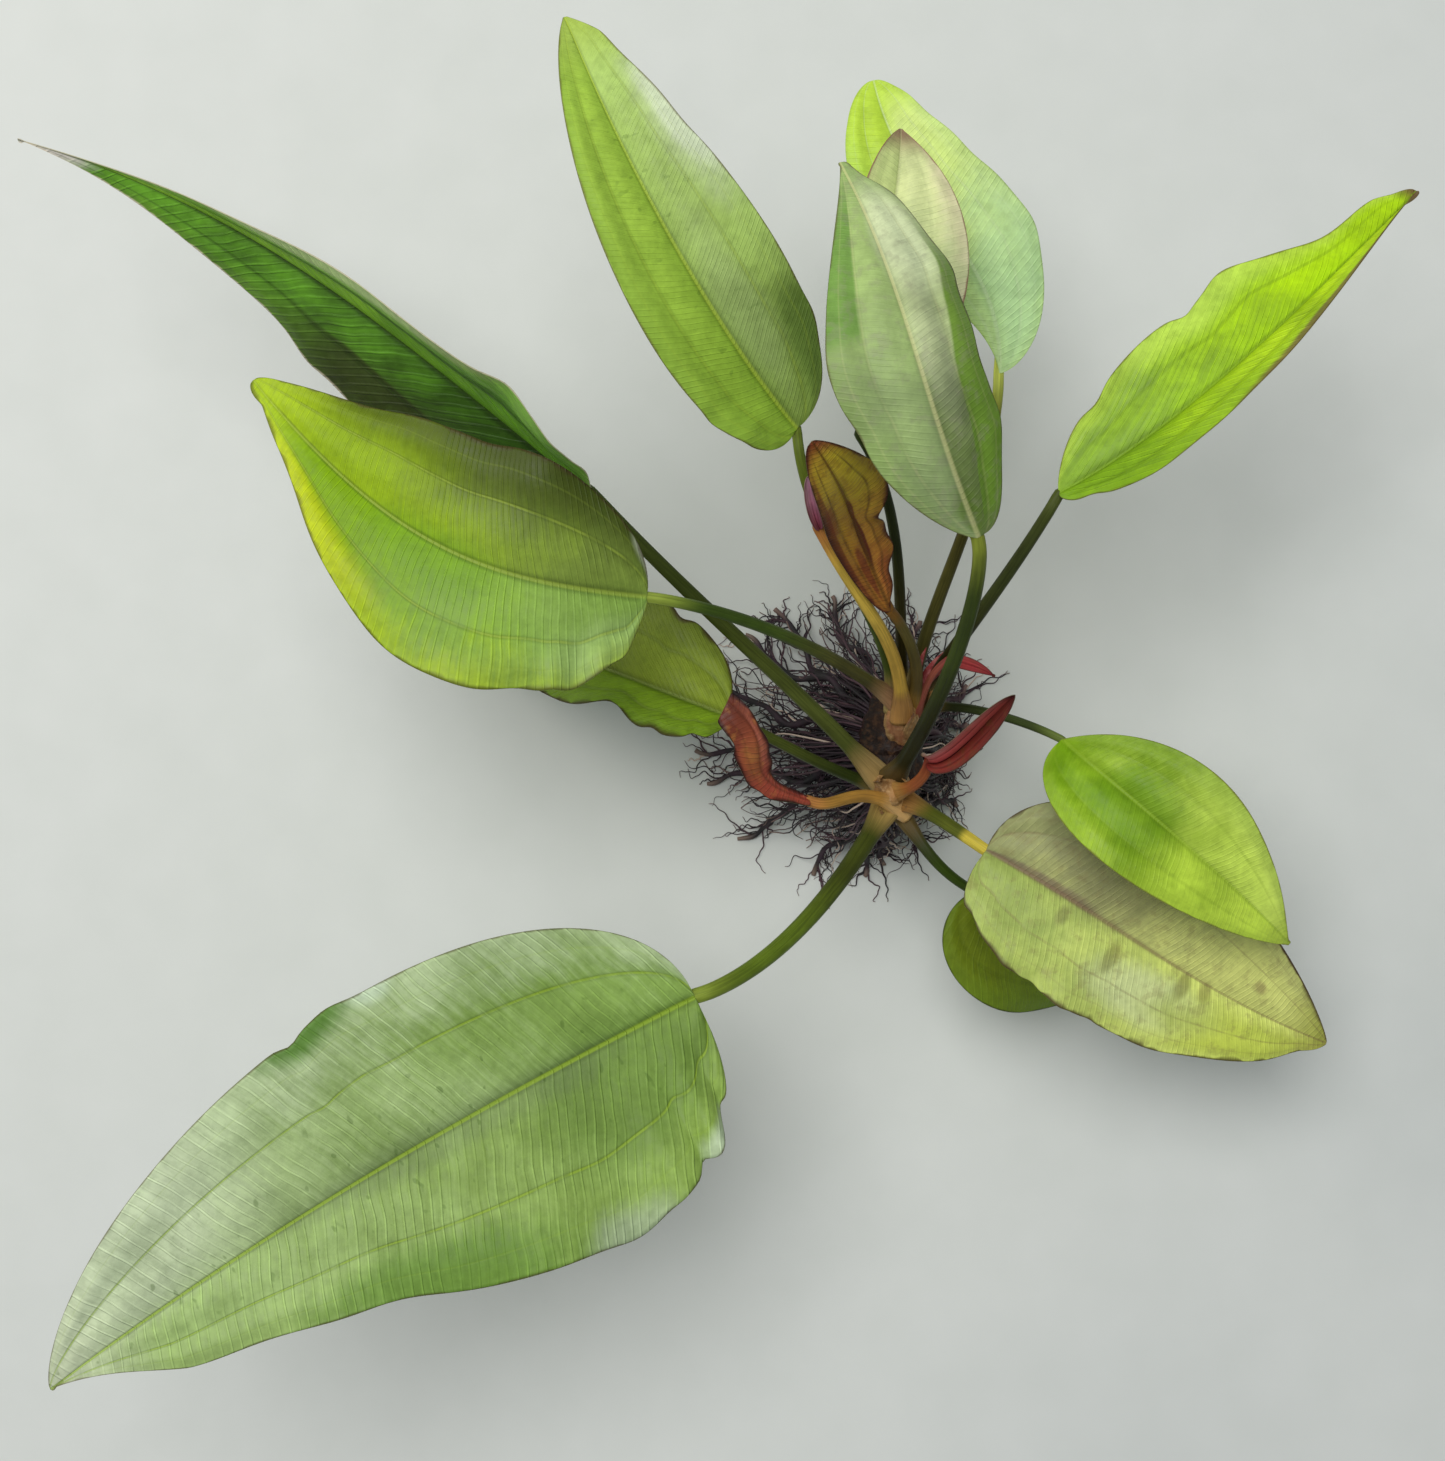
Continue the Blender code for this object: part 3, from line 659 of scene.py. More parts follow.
LOOKS = {
    "front_left_leaf": Look(
        left=("84a04a", "96af6a"), right=("82a04c", "a8bc84"), edges=("86a248", "b2c298"),
        edge_share=(0.3, 0.7), tip="bcc6a4", stalk=("a3884c", "434b16", "5c701c", "7c8c30"),
        rim="4f3f2c", vein="93b028", vein_share=0.7, side_share=0.6, groove_shade=0.34, lines=0.26,
        line_gap=2.0, spots=0.4,
        # The first patch is painted shade where the upper margin folds. The second, third, fifth and
        # sixth are painted sheen.
        patches=(
            (0.51, -1.04, 0.08, 0.2, "4a7a10", 0.85),
            (0.41, -1.02, 0.035, 0.12, "c6d8bc", 0.6),
            (0.85, -0.6, 0.22, 0.7, "c4ceb0", 0.55),
            (0.5, 0.9, 0.2, 0.32, "557f1a", 0.65),
            (0.23, 1.04, 0.08, 0.25, "bcc8b0", 0.5),
            (0.07, 1.0, 0.03, 0.16, "c5d4b8", 0.65),
            (0.14, 0.3, 0.18, 0.5, "56762a", 0.5),
            (0.4, 0.02, 0.3, 0.14, "6a7c50", 0.45),
            (0.99, 0.0, 0.02, 1.0, "c6b8a8", 0.7),
        ),
    ),
    "left_leaf": Look(
        left=("86a84a", "789e06"), right=("7e943c", "84a010"), edges=("a8bc1c", "3c4808"),
        edge_share=(0.6, 0.8), tip="a8c414", stalk=("b89068", "4e4c22", "3e5218", "8c9c3c"),
        stalk_top=(0.84, 1.0), rim="3f2f1c", rim_width=1.4, vein="9cb040", vein_share=0.5,
        side_share=0.45, groove_shade=0.38, lines=0.2, line_gap=1.4, slant=(-0.15, 0.42),
        patches=(
            (0.33, -1.05, 0.42, 0.72, "38420e", 0.78, 0.6),
            # Painted sheen near the base of the right margin:
            (0.03, -0.98, 0.035, 0.22, "aab098", 0.6),
            (0.85, 0.85, 0.25, 0.3, "bcc814", 0.75),
            (0.1, 0.7, 0.12, 0.35, "a0bc72", 0.5),
            (0.55, 0.1, 0.2, 0.3, "6c981c", 0.5),
        ),
    ),
    "far_left_leaf": Look(
        # The left half's darker greens are painted shade: that half faces away from the light.
        left=("2c4a0c", "588c20"), right=("5c920a", "84b428"), edges=("566428", "a4bc70"),
        edge_share=(0.4, 0.55), tip="d8d0c4", tip_from=0.95,
        stalk=("947c4c", "4c5420", "36400f", "3d4a12"), rim="c8bca4", rim_share=0.85, vein="30480c",
        vein_share=0.6, side_share=0.3, groove_shade=0.45, lines=0.3, line_gap=3.4, slant=(1.6, 1.6),
        # The left strip is painted shade on the half that faces away from the light; the right strip is
        # painted light on the far half.
        turned=(
            (LEFT, 0.5, 0.46, 0.0, 0.42, "2a300e", 0.82),
            (RIGHT, 0.52, 0.5, 0.0, 0.9, "5c981c", 0.5),
        ),
        patches=(
            # Painted shade near the base of the left half:
            (0.3, 0.7, 0.3, 0.5, "262c0c", 0.5),
            (0.98, 0.0, 0.08, 1.2, "e0d6d0", 0.95),
            (0.3, -0.62, 0.3, 0.14, "24400c", 0.75, 0.2),
            (0.3, -1.0, 0.1, 0.14, "c0be88", 0.8),
            (0.5, -1.04, 0.26, 0.28, "c8c8a0", 0.85, 0.2),
        ),
    ),
    "low_left_leaf": Look(
        left=("7c9c1c", "74961c"), right=("8c9e30", "6c7c2c"), edges=("6c8c20", "4c5620"),
        tip="6a8424", stalk=("7a6a3c", "2c3812", "47501a", "5a5a2a"), rim="3a2414", rim_share=0.9,
        rim_width=1.8, vein="88984c", side_share=0.3, groove_shade=0.35, lines=0.34, line_gap=1.4,
        slant=(1.1, 1.1), spots=0.25,
    ),
    "back_leaf": Look(
        left=("94b83c", "a2c446"), right=("869f4a", "a8c468"), edges=("88aa3c", "90ac54"),
        edge_share=(0.6, 0.4), tip="a0b850", stalk=("a08a54", "4a5a1e", "56641e", "5e6c20"),
        rim="5c4a2c", vein="aec43c", vein_share=0.55, side_share=0.2, groove_shade=0.3, lines=0.15,
        line_gap=1.1, slant=(0.5, 0.85), spots=0.3,
        # The first, second and last patches are painted sheen on the right half.
        patches=(
            (0.7, -0.85, 0.2, 0.35, "bccd98", 0.6),
            (0.72, -0.95, 0.14, 0.25, "d8e2c4", 0.7),
            (0.16, -0.85, 0.16, 0.35, "4c6424", 0.75),
            (0.3, -0.3, 0.25, 0.3, "94a670", 0.4),
        ),
    ),
}
print("looks on the left:", len(LOOKS))

# %% [markdown]
# On the right the leaves are lighter. The pale grey-greens are the sky's sheen on a waxy blade.

# %% Looks on the right
LOOKS |= {
    "tall_right_leaf": Look(
        # The grey-green of the left half is partly the leaf's own colour and partly painted sheen.
        left=("879a64", "9cb46c"), right=("62743c", "c4d296"), edges=("7a9448", "54761e"),
        edge_share=(0.5, 0.2), tip="90aa64", stalk=("5a4a28", "242608", "364410", "76802c"),
        rim="54482c", vein="d0cc90", vein_share=0.45, side_share=0.12, groove_shade=0.16, lines=0.1,
        line_gap=1.2, spot="8a8870", mottle=0.3,
        # The right strip is painted shade, where the right half bends steeply away from the light.
        turned=(
            (RIGHT, 0.33, 0.92, 0.0, 0.66, "648626", 0.92),
            (LEFT, 0.58, 0.56, 0.5, 1.0, "5f8a34", 0.75),
        ),
        # The first patch is painted sheen.
        patches=(
            (0.8, -0.4, 0.19, 0.5, "cfd8b0", 0.6),
            (0.45, -0.3, 0.22, 0.3, "8a8c78", 0.35),
            (0.05, 0.0, 0.06, 0.4, "5a7426", 0.7),
        ),
    ),
    "middle_right_leaf": Look(
        left=("98b46c", "ccda8c"), right=("aac280", "d0d898"), edges=("a0a070", "c8b0a0"),
        edge_share=(0.5, 0.5), tip="8a6a54", tip_from=0.93,
        stalk=("a08a54", "3a3416", "2a3212", "2e3a14"), rim="8a5c4c", rim_share=0.9, vein="b4b880",
        vein_share=0.3, side_share=0.1, groove_shade=0.1, lines=0.12,
    ),
    "back_right_leaf": Look(
        left=("bcda90", "b8d84a"), right=("c0e098", "d2e684"), edges=("aace50", "a8c87c"),
        edge_share=(0.4, 0.4), tip="b4d440", stalk=("8f7a4c", "4d4a20", "4d4818", "b4bc50"),
        rim="8a9a50", rim_share=0.3, vein="ccdcb0", vein_share=0.35, side_share=0.2, groove_shade=0.12,
        lines=0.12,
        patches=((0.28, -0.5, 0.3, 0.7, "aace9c", 0.5), (0.95, 0.4, 0.14, 0.7, "bada3c", 0.6)),
    ),
    "far_right_leaf": Look(
        left=("8aae34", "aad40e"), right=("80aa18", "aed018"), edges=("bad650", "84ac1c"),
        edge_share=(0.6, 0.5), tip="6a4a30", tip_from=1.02,
        stalk=("8f7a4c", "2c2a0e", "3c431d", "464f1a"), rim="5c4420", vein="84a824", vein_share=0.6,
        side_share=0.12, groove_shade=0.34, lines=0.22, line_gap=2.6, slant=(2.2, 1.4),
        patches=(
            (0.99, -1.0, 0.03, 1.1, "4a3028", 0.95, 0.2),
            (0.76, -1.02, 0.36, 0.2, "6a4a34", 0.8, 0.2),
            (0.55, 0.9, 0.2, 0.3, "b8d85c", 0.5),
        ),
    ),
    "right_leaf": Look(
        left=("729606", "dcf46a"), right=("6e9604", "ceec4e"), edges=("809e3a", "98b632"),
        edge_share=(0.5, 0.5), tip="b0c844", stalk=("8f7040", "242a10", "34401a", "5c6a2c"),
        rim="6c6430", vein="90b028", vein_share=0.4, side_share=0.15, groove_shade=0.16, lines=0.08,
        line_gap=1.1,
        patches=(
            (0.32, -0.1, 0.16, 0.7, "608a0c", 0.65),
            (0.7, 0.3, 0.2, 0.4, "b0ce40", 0.4),
            (0.99, 0.0, 0.015, 1.0, "c8c8b0", 0.6),
        ),
    ),
    "front_right_leaf": Look(
        left=("a0a46c", "d4d87a"), right=("a0b25c", "e8f280"), edges=("8c8e60", "a6b654"),
        edge_share=(0.4, 0.4), tip="a4a848", stalk=("a87c44", "4d5613", "59601a", "c8b440"),
        stalk_top=(0.76, 0.84), rim="44301c", rim_share=0.9, rim_width=1.5, vein="7c5c48",
        vein_share=0.42, side_share=0.3, groove_shade=0.05, lines=0.12, line_gap=1.3, spot="84744c",
        mottle=0.3,
        patches=(
            (0.3, 0.4, 0.25, 0.5, "767252", 0.65),
            # Painted sheen in the middle of the right half:
            (0.55, -0.5, 0.2, 0.35, "dce4b0", 0.55),
            (0.14, 0.03, 0.18, 0.08, "6a4450", 0.55),
            (0.35, 0.0, 0.3, 0.04, "74584c", 0.3),
            (0.4, -0.28, 0.022, 0.22, "747038", 0.55),
            (0.24, -0.2, 0.02, 0.14, "7c7c4a", 0.6),
            (0.6, -0.16, 0.02, 0.18, "6c5c34", 0.5),
            (0.66, -0.1, 0.02, 0.16, "6c5634", 0.5),
            (0.78, 0.35, 0.02, 0.1, "8a6a4c", 0.45),
            (0.8, -0.6, 0.25, 0.5, "aebe24", 0.6),
            (0.06, -0.8, 0.05, 0.5, "b4c46c", 0.5),
            (0.99, 0.0, 0.025, 1.2, "3c2a1c", 0.95),
            (0.86, 1.02, 0.2, 0.07, "4a3020", 0.85, 0.2),
        ),
    ),
    "low_right_leaf": Look(
        left=("6e8410", "748e1a"), right=("6e7c14", "748a20"), edges=("627c1c", "627c1c"),
        tip="688024", stalk=("5c4c26", "34341a", "34460e", "4a5a20"), rim="2e3012", vein="748a28",
        vein_share=0.3, side_share=0.1, groove_shade=0.2, lines=0.12,
    ),
}
print("looks so far:", len(LOOKS))

# %% [markdown]
# Young leaves have little green in them yet: red, brown and gold, with dark margins.

# %% Looks of the young leaves
LOOKS |= {
    "young_left_leaf": Look(
        left=("a84a38", "904830"), right=("a44636", "985440"), edges=("803a2a", "602c1c"),
        tip="6a3020", stalk=("ddb070", "cf9947", "b8883a", "a8703a"), rim="2c0f0c", rim_share=0.98,
        rim_width=1.5, vein="5c2a18", vein_share=0.4, side_share=0.2, groove_shade=0.4, lines=0.3,
        line_gap=1.3, spot="b87c3c", mottle=0.45, gloss=0.4,
        patches=((0.55, 0.3, 0.25, 0.6, "9c6030", 0.5), (0.9, 0.4, 0.12, 0.7, "5c2c1c", 0.6)),
    ),
    "young_back_leaf": Look(
        left=("9a6424", "b09428"), right=("a86c2c", "a89424"), edges=("6c3c20", "74501e"),
        tip="7c3c24", tip_from=0.95, stalk=("8a6a30", "5a4a20", "5a5020", "6c4a1c"), rim="3c1410",
        rim_share=0.95, rim_width=1.5, vein="5c3c14", vein_share=0.7, side_share=0.6, groove_shade=0.4,
        lines=0.26, line_gap=0.9, spot="5c2414", mottle=0.35, gloss=0.4,
        patches=(
            (0.3, -0.05, 0.18, 0.16, "541a14", 0.9, 0.2),
            (0.5, -0.02, 0.1, 0.1, "6c2418", 0.8, 0.2),
            (0.16, 0.3, 0.14, 0.2, "642018", 0.7, 0.2),
            (0.45, 0.85, 0.5, 0.14, "5c2018", 0.7, 0.2),
            (0.12, -0.6, 0.1, 0.4, "8c4426", 0.6),
            (0.8, 0.2, 0.15, 0.5, "a48a2c", 0.6),
            (0.55, 0.7, 0.15, 0.2, "7c3018", 0.6),
        ),
    ),
    "young_right_leaf": Look(
        # The pinkish left half and its margin are partly the leaf's own red and partly painted sheen
        # along that edge.
        left=("d05c5a", "a0463e"), right=("8a3229", "5e261e"), edges=("a86662", "582424"),
        edge_share=(0.7, 0.4), tip="4a1a1c", stalk=("b88a4a", "a8742e", "94502a", "7c3424"),
        rim="3c1414", vein="3c1214", vein_share=0.8, side_share=0.5, groove_shade=0.2, lines=0.0,
        gloss=0.4,
        patches=((0.5, -0.15, 0.5, 0.3, "3c1210", 0.35),),
    ),
    "small_right_leaf": Look(
        left=("b44846", "bc484c"), right=("a44040", "ae4044"), edges=("8e4042", "783434"),
        tip="7c3438", stalk=("8a5a3c", "84483a", "94503f", "8a4038"), rim="4a1c1c", vein="4a1a18",
        vein_share=0.4, lines=0.0, gloss=0.4,
    ),
    "furled_back_leaf": Look(
        # The pale lilac of the left half and the tip is partly the leaf's own colour and partly painted
        # highlight.
        left=("c47484", "dcb4c8"), right=("a45264", "c490a8"), edges=("8a5060", "8a5a6a"),
        tip="d0a0b8", stalk=("a87c44", "c09a40", "c8a844", "a06a34"), rim="581c28", vein="581c28",
        lines=0.0, gloss=0.4,
    ),
}
print("looks:", len(LOOKS), "patches:", sum(len(look.patches) for look in LOOKS.values()))

# %% [markdown]
# ## Body colour of a blade
# The colours blend from base to tip, from one half to the other and towards the margins. A picture
# could be painted for each leaf, but a calculation stays sharp at any distance: the points of a blade
# know how far along and how far across they lie, in shares of the leaf. Noise is added to those
# places before they are used, which keeps every border uneven.

# %% Body colour
PATCH_BORDER = 0.85
PATCH_SOFTNESS = 0.4


def with_patch(r, colour, patch, along, across, uneven):
    """One soft oval spot: its share falls where sqrt(dx^2 + dy^2), in reaches, is PATCH_BORDER."""
    place, side, reach_along, reach_across, chart, strength, *soft = patch
    soft = soft[0] if soft else PATCH_SOFTNESS
    dx = r.times(r.minus(along, place), 1 / reach_along)
    dy = r.times(r.minus(across, side), 1 / reach_across)
    gap = r.math("SQRT", r.plus(r.times(dx, dx), r.times(dy, dy)))
    moved = r.plus(gap, r.times(uneven, min(1.0, 2.5 * soft)))
    inside = r.band(moved, PATCH_BORDER - soft, PATCH_BORDER + soft, strength, 0.0)
    return r.mix(inside, colour, chart)


def with_light_strip(r, colour, strip, along, across, uneven):
    """Painted light and shade on the part of one half beyond a straight line, between two places along
    the blade, where that part turns towards or away from the light.
    """
    half, line, line_end, start, stop, chart, strength = strip
    line = r.plus(r.times(along, line_end - line), line)
    beyond = r.plus(r.minus(r.times(across, half), line), r.times(uneven, 0.08))
    begun = r.band(along, start, start + 0.06)
    not_ended = r.band(along, stop, stop + 0.2, 1.0, 0.0)
    return r.mix(r.times(r.band(beyond, -0.02, 0.03, 0.0, strength), begun, not_ended), colour, chart)


def body_colour(r, look, along, across, reach, uneven):
    """Each half goes from its base colour to its tip colour, and the rest is laid over that."""
    growth = r.band(r.plus(along, uneven), 0.1, 0.85)
    is_left = r.band(across, -0.03, 0.03)
    colour = r.mix(is_left, r.mix(growth, *look.right), r.mix(growth, *look.left))
    outward = r.band(r.plus(reach, uneven), 0.5, 1.05)
    share = r.band(across, -0.1, 0.1, look.edge_share[1], look.edge_share[0])
    edge = r.mix(is_left, look.edges[1], look.edges[0])
    colour = r.mix(r.times(outward, share), colour, edge)
    # Patches add the leaf's own marks and also painted sheen and shade; turned strips paint the light
    # and shade of a half that turns.
    for patch in look.patches:
        colour = with_patch(r, colour, patch, along, across, uneven)
    for strip in look.turned:
        colour = with_light_strip(r, colour, strip, along, across, uneven)
    return r.mix(r.band(along, look.tip_from - 0.06, 1.0), colour, look.tip)


print("turned strips:", sum(len(look.turned) for look in LOOKS.values()))

# %% [markdown]
# ## Veins and blemishes
# A sword leaf has a midrib and one strong side vein in each half that curve from the base to the
# tip. Fine veins cross between them at a slant, a millimetre or two apart. The points of a blade also
# know their place in millimetres, so a vein is simply where the distance to its line is small.

# %% Veins
SIDE_VEIN = 0.54
OUTER_VEIN = 0.82
MIDRIB_MM = 0.6
SIDE_VEIN_MM = 0.36
OUTER_VEIN_MM = 0.3
# How far the painted shade beside the midrib and beside the side veins reaches, in mm.
MIDRIB_SHADE_MM = 1.4
SIDE_SHADE_MM = 0.8


def cross_veins(r, look, run, out_mm, across):
    """Streaks along the fine veins, and the veins: where the sine of 2 pi turns is near 1.

    turns is (run - slant * out_mm) / line_gap, bent a little by noise. Both fade in places.
    """
    wander = r.noise(r.join(run, out_mm, across), 0.09, 1.0)
    slant = r.band(across, -0.01, 0.01, look.slant[1], look.slant[0])
    slanted = r.minus(run, r.times(out_mm, slant))
    turns = r.plus(r.times(slanted, 1 / look.line_gap), r.times(wander, 0.9))
    ripple = r.band(r.math("SINE", r.times(turns, 2 * math.pi)), 0.5, 1.0)
    streak = r.noise(r.join(turns, r.times(out_mm, 0.025), across), 1.7, 4.0, 0.65)
    fade = r.band(r.noise(r.place(), 90.0, 2.0), 0.3, 0.6, 0.25, 1.0)
    return streak, r.times(ripple, fade, r.band(streak, 0.3, 0.55, 0.4, 1.0))


def long_veins(r, look, along, reach, half):
    """The fine pale threads of the long veins, and the painted shade in the grooves beside them. They
    thin to the tip.
    """
    thin = r.band(along, 0.0, 1.0, 1.2, 0.45)

    def near(line, width):
        """1 on a vein that runs at this share of the half width, 0 beyond width mm from it."""
        gap = r.times(r.math("ABSOLUTE", r.minus(reach, line)), half)
        return r.band(gap, width * 0.3, r.times(thin, width), 1.0, 0.0)

    worn = r.band(r.noise(r.place(), 260.0, 2.0), 0.3, 0.6, 0.3, 1.0)
    # Painted shade in the grooves beside the midrib and the side veins, weaker on narrow halves.
    groove_shade = r.math("MAXIMUM", near(0.0, MIDRIB_SHADE_MM), r.times(near(SIDE_VEIN, SIDE_SHADE_MM), 0.6))
    groove_shade = r.times(groove_shade, r.band(half, 3.0, 9.0, 0.2, 1.0))
    midrib = r.times(near(0.0, MIDRIB_MM), look.vein_share)
    side = r.times(near(SIDE_VEIN, SIDE_VEIN_MM), worn, look.side_share)
    outer = r.times(near(OUTER_VEIN, OUTER_VEIN_MM), 0.1)
    return r.math("MAXIMUM", midrib, side, outer), groove_shade


def with_spots(r, look, colour, run, out_mm, across, reach):
    """Blots anywhere on the blade, and small flecks in the middle of it."""
    blots = r.band(r.noise(r.place(), 330.0, 4.0, 0.65), 0.5, 0.66)
    colour = r.mix(r.times(blots, look.mottle), colour, look.spot)
    flecks = r.noise(r.join(r.times(run, 0.5), r.times(out_mm, 0.3), across), 1.1, 1.0)
    middle = r.band(reach, 0.3, 0.65, 1.0, 0.0)
    return r.mix(r.times(r.band(flecks, 0.68, 0.75), middle, look.spots), colour, look.spot)


print("long veins at", SIDE_VEIN, "and", OUTER_VEIN, "of each half's width")

# %% [markdown]
# ## Blade finish
# All of that comes together here, in the order in which it lies on the leaf: body colour, fine
# veins as a change of tone, spots, long veins with painted shade in the grooves beside them, and last
# the dark rim. The underside is paler. The same veins also make the relief, so that the light catches
# them where the colour shows them.

# %% Blade material
# Painted shade darkens the grooves beside the veins with this tint.
GROOVE_SHADE_TINT = "4a5a20"
UNDERSIDE_TINT = "8fa070"
UNDERSIDE_SHARE = 0.35
THINNEST_RIM = 0.12
BLADE_SHINE = 0.2
BLADE_RELIEF = 0.00028


def blade_material(leaf):
    """Body colour, fine veins, spots, long veins and rim, one over the other, and the relief."""
    look = LOOKS[leaf.name]
    r = Recipe(leaf.name + "_blade_skin")
    along, across, upper = r.field("on_leaf")
    run, _, half = r.field("in_mm")
    reach = r.math("ABSOLUTE", across)
    out_mm = r.times(reach, half)
    clouds = r.noise(r.place(), 70.0, 3.0)
    grain = r.noise(r.place(), 520.0, 3.0, 0.6)
    streak, fine = cross_veins(r, look, run, out_mm, across)

    # The borders of the colours are combed along the fine veins, more so where those are strong.
    combed = min(0.5, 2.2 * look.lines)
    uneven = r.plus(r.times(clouds, 0.7), r.times(streak, combed))
    uneven = r.minus(uneven, 0.35 + 0.5 * combed)
    colour = body_colour(r, look, along, across, reach, uneven)
    tone = r.plus(r.band(streak, 0.25, 0.75, -0.38, 0.32), r.times(fine, 0.95))
    tone = r.plus(r.times(tone, look.lines), 1.0)
    tone = r.times(tone, r.band(clouds, 0.25, 0.75, 0.9, 1.1), r.band(grain, 0.2, 0.8, 0.9, 1.1))
    colour = with_spots(r, look, r.shade(colour, tone), run, out_mm, across, reach)

    threads, groove_shade = long_veins(r, look, along, reach, half)
    # Painted shade in the grooves beside the veins.
    colour = r.mix(r.times(groove_shade, look.groove_shade), colour, GROOVE_SHADE_TINT, "MULTIPLY")
    colour = r.mix(threads, colour, look.vein)
    ragged = r.band(r.noise(r.place(), 180.0, 2.0), 0.35, 0.65, THINNEST_RIM, look.rim_width)
    rim = r.band(r.minus(half, out_mm), 0.03, ragged, 1.0, 0.0)
    colour = r.mix(r.times(rim, look.rim_share), colour, look.rim)
    colour = r.mix(upper, r.mix(UNDERSIDE_SHARE, colour, UNDERSIDE_TINT), colour)

    r.surface(colour, r.band(grain, 0.2, 0.8, look.gloss - 0.06, look.gloss + 0.1), BLADE_SHINE)
    height = r.plus(r.times(fine, min(0.7, 2.6 * look.lines)), r.times(grain, 0.35))
    r.bump(r.minus(height, r.times(threads, 0.5)), BLADE_RELIEF, 0.9)
    return r.material


print("blade finishes to make:", len(LOOKS))

# %% [markdown]
# ## Stalk and sheath finish
# A stalk is juicy and smooth, with faint lines along it. Its foot is a pale papery sheath that
# clasps the crown, and near the blade it turns yellow-green. The colours follow the length of the
# stalk, and the lines come from noise that is stretched along it.

# %% Stalk material
STALK_ROOTED = 5.0
STALK_SHINE = 0.14
STALK_RELIEF = 0.0002


def stalk_material(leaf):
    """Four colours from the sheath to the blade, toned by lines that run along the stalk."""
    look = LOOKS[leaf.name]
    r = Recipe(leaf.name + "_stalk_skin")
    share, angle, run = r.field("on_stalk")
    foot, low, middle, top = look.stalk
    clouds = r.noise(r.place(), 120.0, 3.0)
    lines = r.noise(r.join(r.times(angle, 9.0), r.times(run, 0.05)), 1.6, 3.0, 0.6)
    moved = r.plus(run, r.times(r.minus(clouds, 0.5), 6.0))
    colour = r.mix(r.band(moved, STALK_ROOTED + 2.0, leaf.sheath + STALK_ROOTED), foot, low)
    colour = r.mix(r.band(share, 0.3, 0.7), colour, middle)
    colour = r.mix(r.band(share, *look.stalk_top), colour, top)
    tone = r.times(r.band(lines, 0.3, 0.7, 0.75, 1.2), r.band(clouds, 0.25, 0.75, 0.85, 1.15))
    r.surface(r.shade(colour, tone), r.band(lines, 0.3, 0.7, 0.4, 0.55), STALK_SHINE)
    r.bump(r.plus(lines, r.times(clouds, 0.3)), STALK_RELIEF, 0.7)
    return r.material


print("stalk length hidden in the crown, in mm:", STALK_ROOTED)

# %% [markdown]
# ## Blade outline and middle surface
# The middle surface of a blade is a function of u, from base to tip, and v, from the right margin
# at -1 to the left margin at +1. Its width along u could be drawn as a spline instead. A formula
# with two powers gives the same family of sword and heart shapes with two numbers a half.

# %% Blade surface
WAVE_OFFSET = 1.7
BUMP_FADE = 4


def of_side(pair, v):
    """The pair's first value on the left half, where v is 0 or more, and its second on the right."""
    return np.where(v >= 0, pair[0], pair[1])


def blade_outline(leaf, u, v, length):
    """Half widths in mm, the plain outline from 0 to 1, and how far the bumps lift each point.

    The outline is u^base_round times (1-u)^tip_taper, scaled to be 1 at its widest, with a small
    circle at a blunt tip. A bump is a bell curve along its margin, and fades at base and tip.
    """
    rounding, taper = of_side(leaf.base_round, v), of_side(leaf.tip_taper, v)
    widest = rounding / (rounding + taper)
    outline = (u / widest) ** rounding * ((1 - u) / (1 - widest)) ** taper
    half = outline * of_side(leaf.half_width, v)
    cap_reach = leaf.blunt / length
    cap = leaf.blunt * np.sqrt(np.clip(1 - ((1 - u) / cap_reach - 1) ** 2, 0, 1))
    half = (half**3 + cap**3) ** (1 / 3)
    lift = 0.0
    for margin, place, spread, out, up_by in leaf.bumps:
        swell = np.exp(-(((u - place) / spread) ** 2)) * (v * margin > 0)
        half = half + out * swell * np.minimum(1, BUMP_FADE * outline)
        lift = lift + up_by * swell * v**2
    return half, outline, lift


def blade_middle(leaf, u, v):
    """The middle surface, its normal, the run in mm along the midrib, and the half widths in mm.

    Each row of points is a line across the midrib. It is rolled, folded, curled down and ruffled as
    the leaf's values say, and drawn back at a lobed base. A tip with skew is cut off at a slant.
    """
    midrib = through_four_points(leaf.midrib, u)
    ahead, left, up = frame_along(midrib)
    roll = np.radians(np.interp(u, [0, 1], leaf.roll))[:, None]
    side = left * np.cos(roll) + up * np.sin(roll)
    normal = up * np.cos(roll) - left * np.sin(roll)
    run = run_length(midrib)
    u = u[:, None]
    half, outline, lift = blade_outline(leaf, u, v, run[-1])
    reach = half * np.abs(v)
    fold = np.radians(of_side(leaf.fold, v))
    across = reach * np.cos(fold) * np.sign(v)
    wave = np.sin(2 * np.pi * leaf.waves * u + np.where(v >= 0, 0.0, WAVE_OFFSET))
    rise = reach * np.sin(fold) - of_side(leaf.curl, v) * reach**2
    rise = rise + of_side(leaf.ruffle, v) * v**2 * outline * wave + lift
    back = of_side(leaf.lobe, v) * v**2 * outline * (1 - u) ** 4 + leaf.tip_skew * v * u**8
    middle = (
        midrib[:, None]
        + across[..., None] * side[:, None]
        + rise[..., None] * normal[:, None]
        - back[..., None] * ahead[:, None]
    )
    return middle, normal, run, half


widths = {leaf.name: round(sum(leaf.half_width)) for leaf in LEAVES}
print("blade widths in mm:", widths)

# %% [markdown]
# ## Blades
# A real blade isn't a flat sheet of even thickness: it is thin at the margin, has a groove over each
# main vein and a rib under it, and the tissue between the veins stands a little proud. All of that
# is added along the surface's own normal. A flat sheet with the Solidify modifier would be quicker,
# but it would lose the ribs.

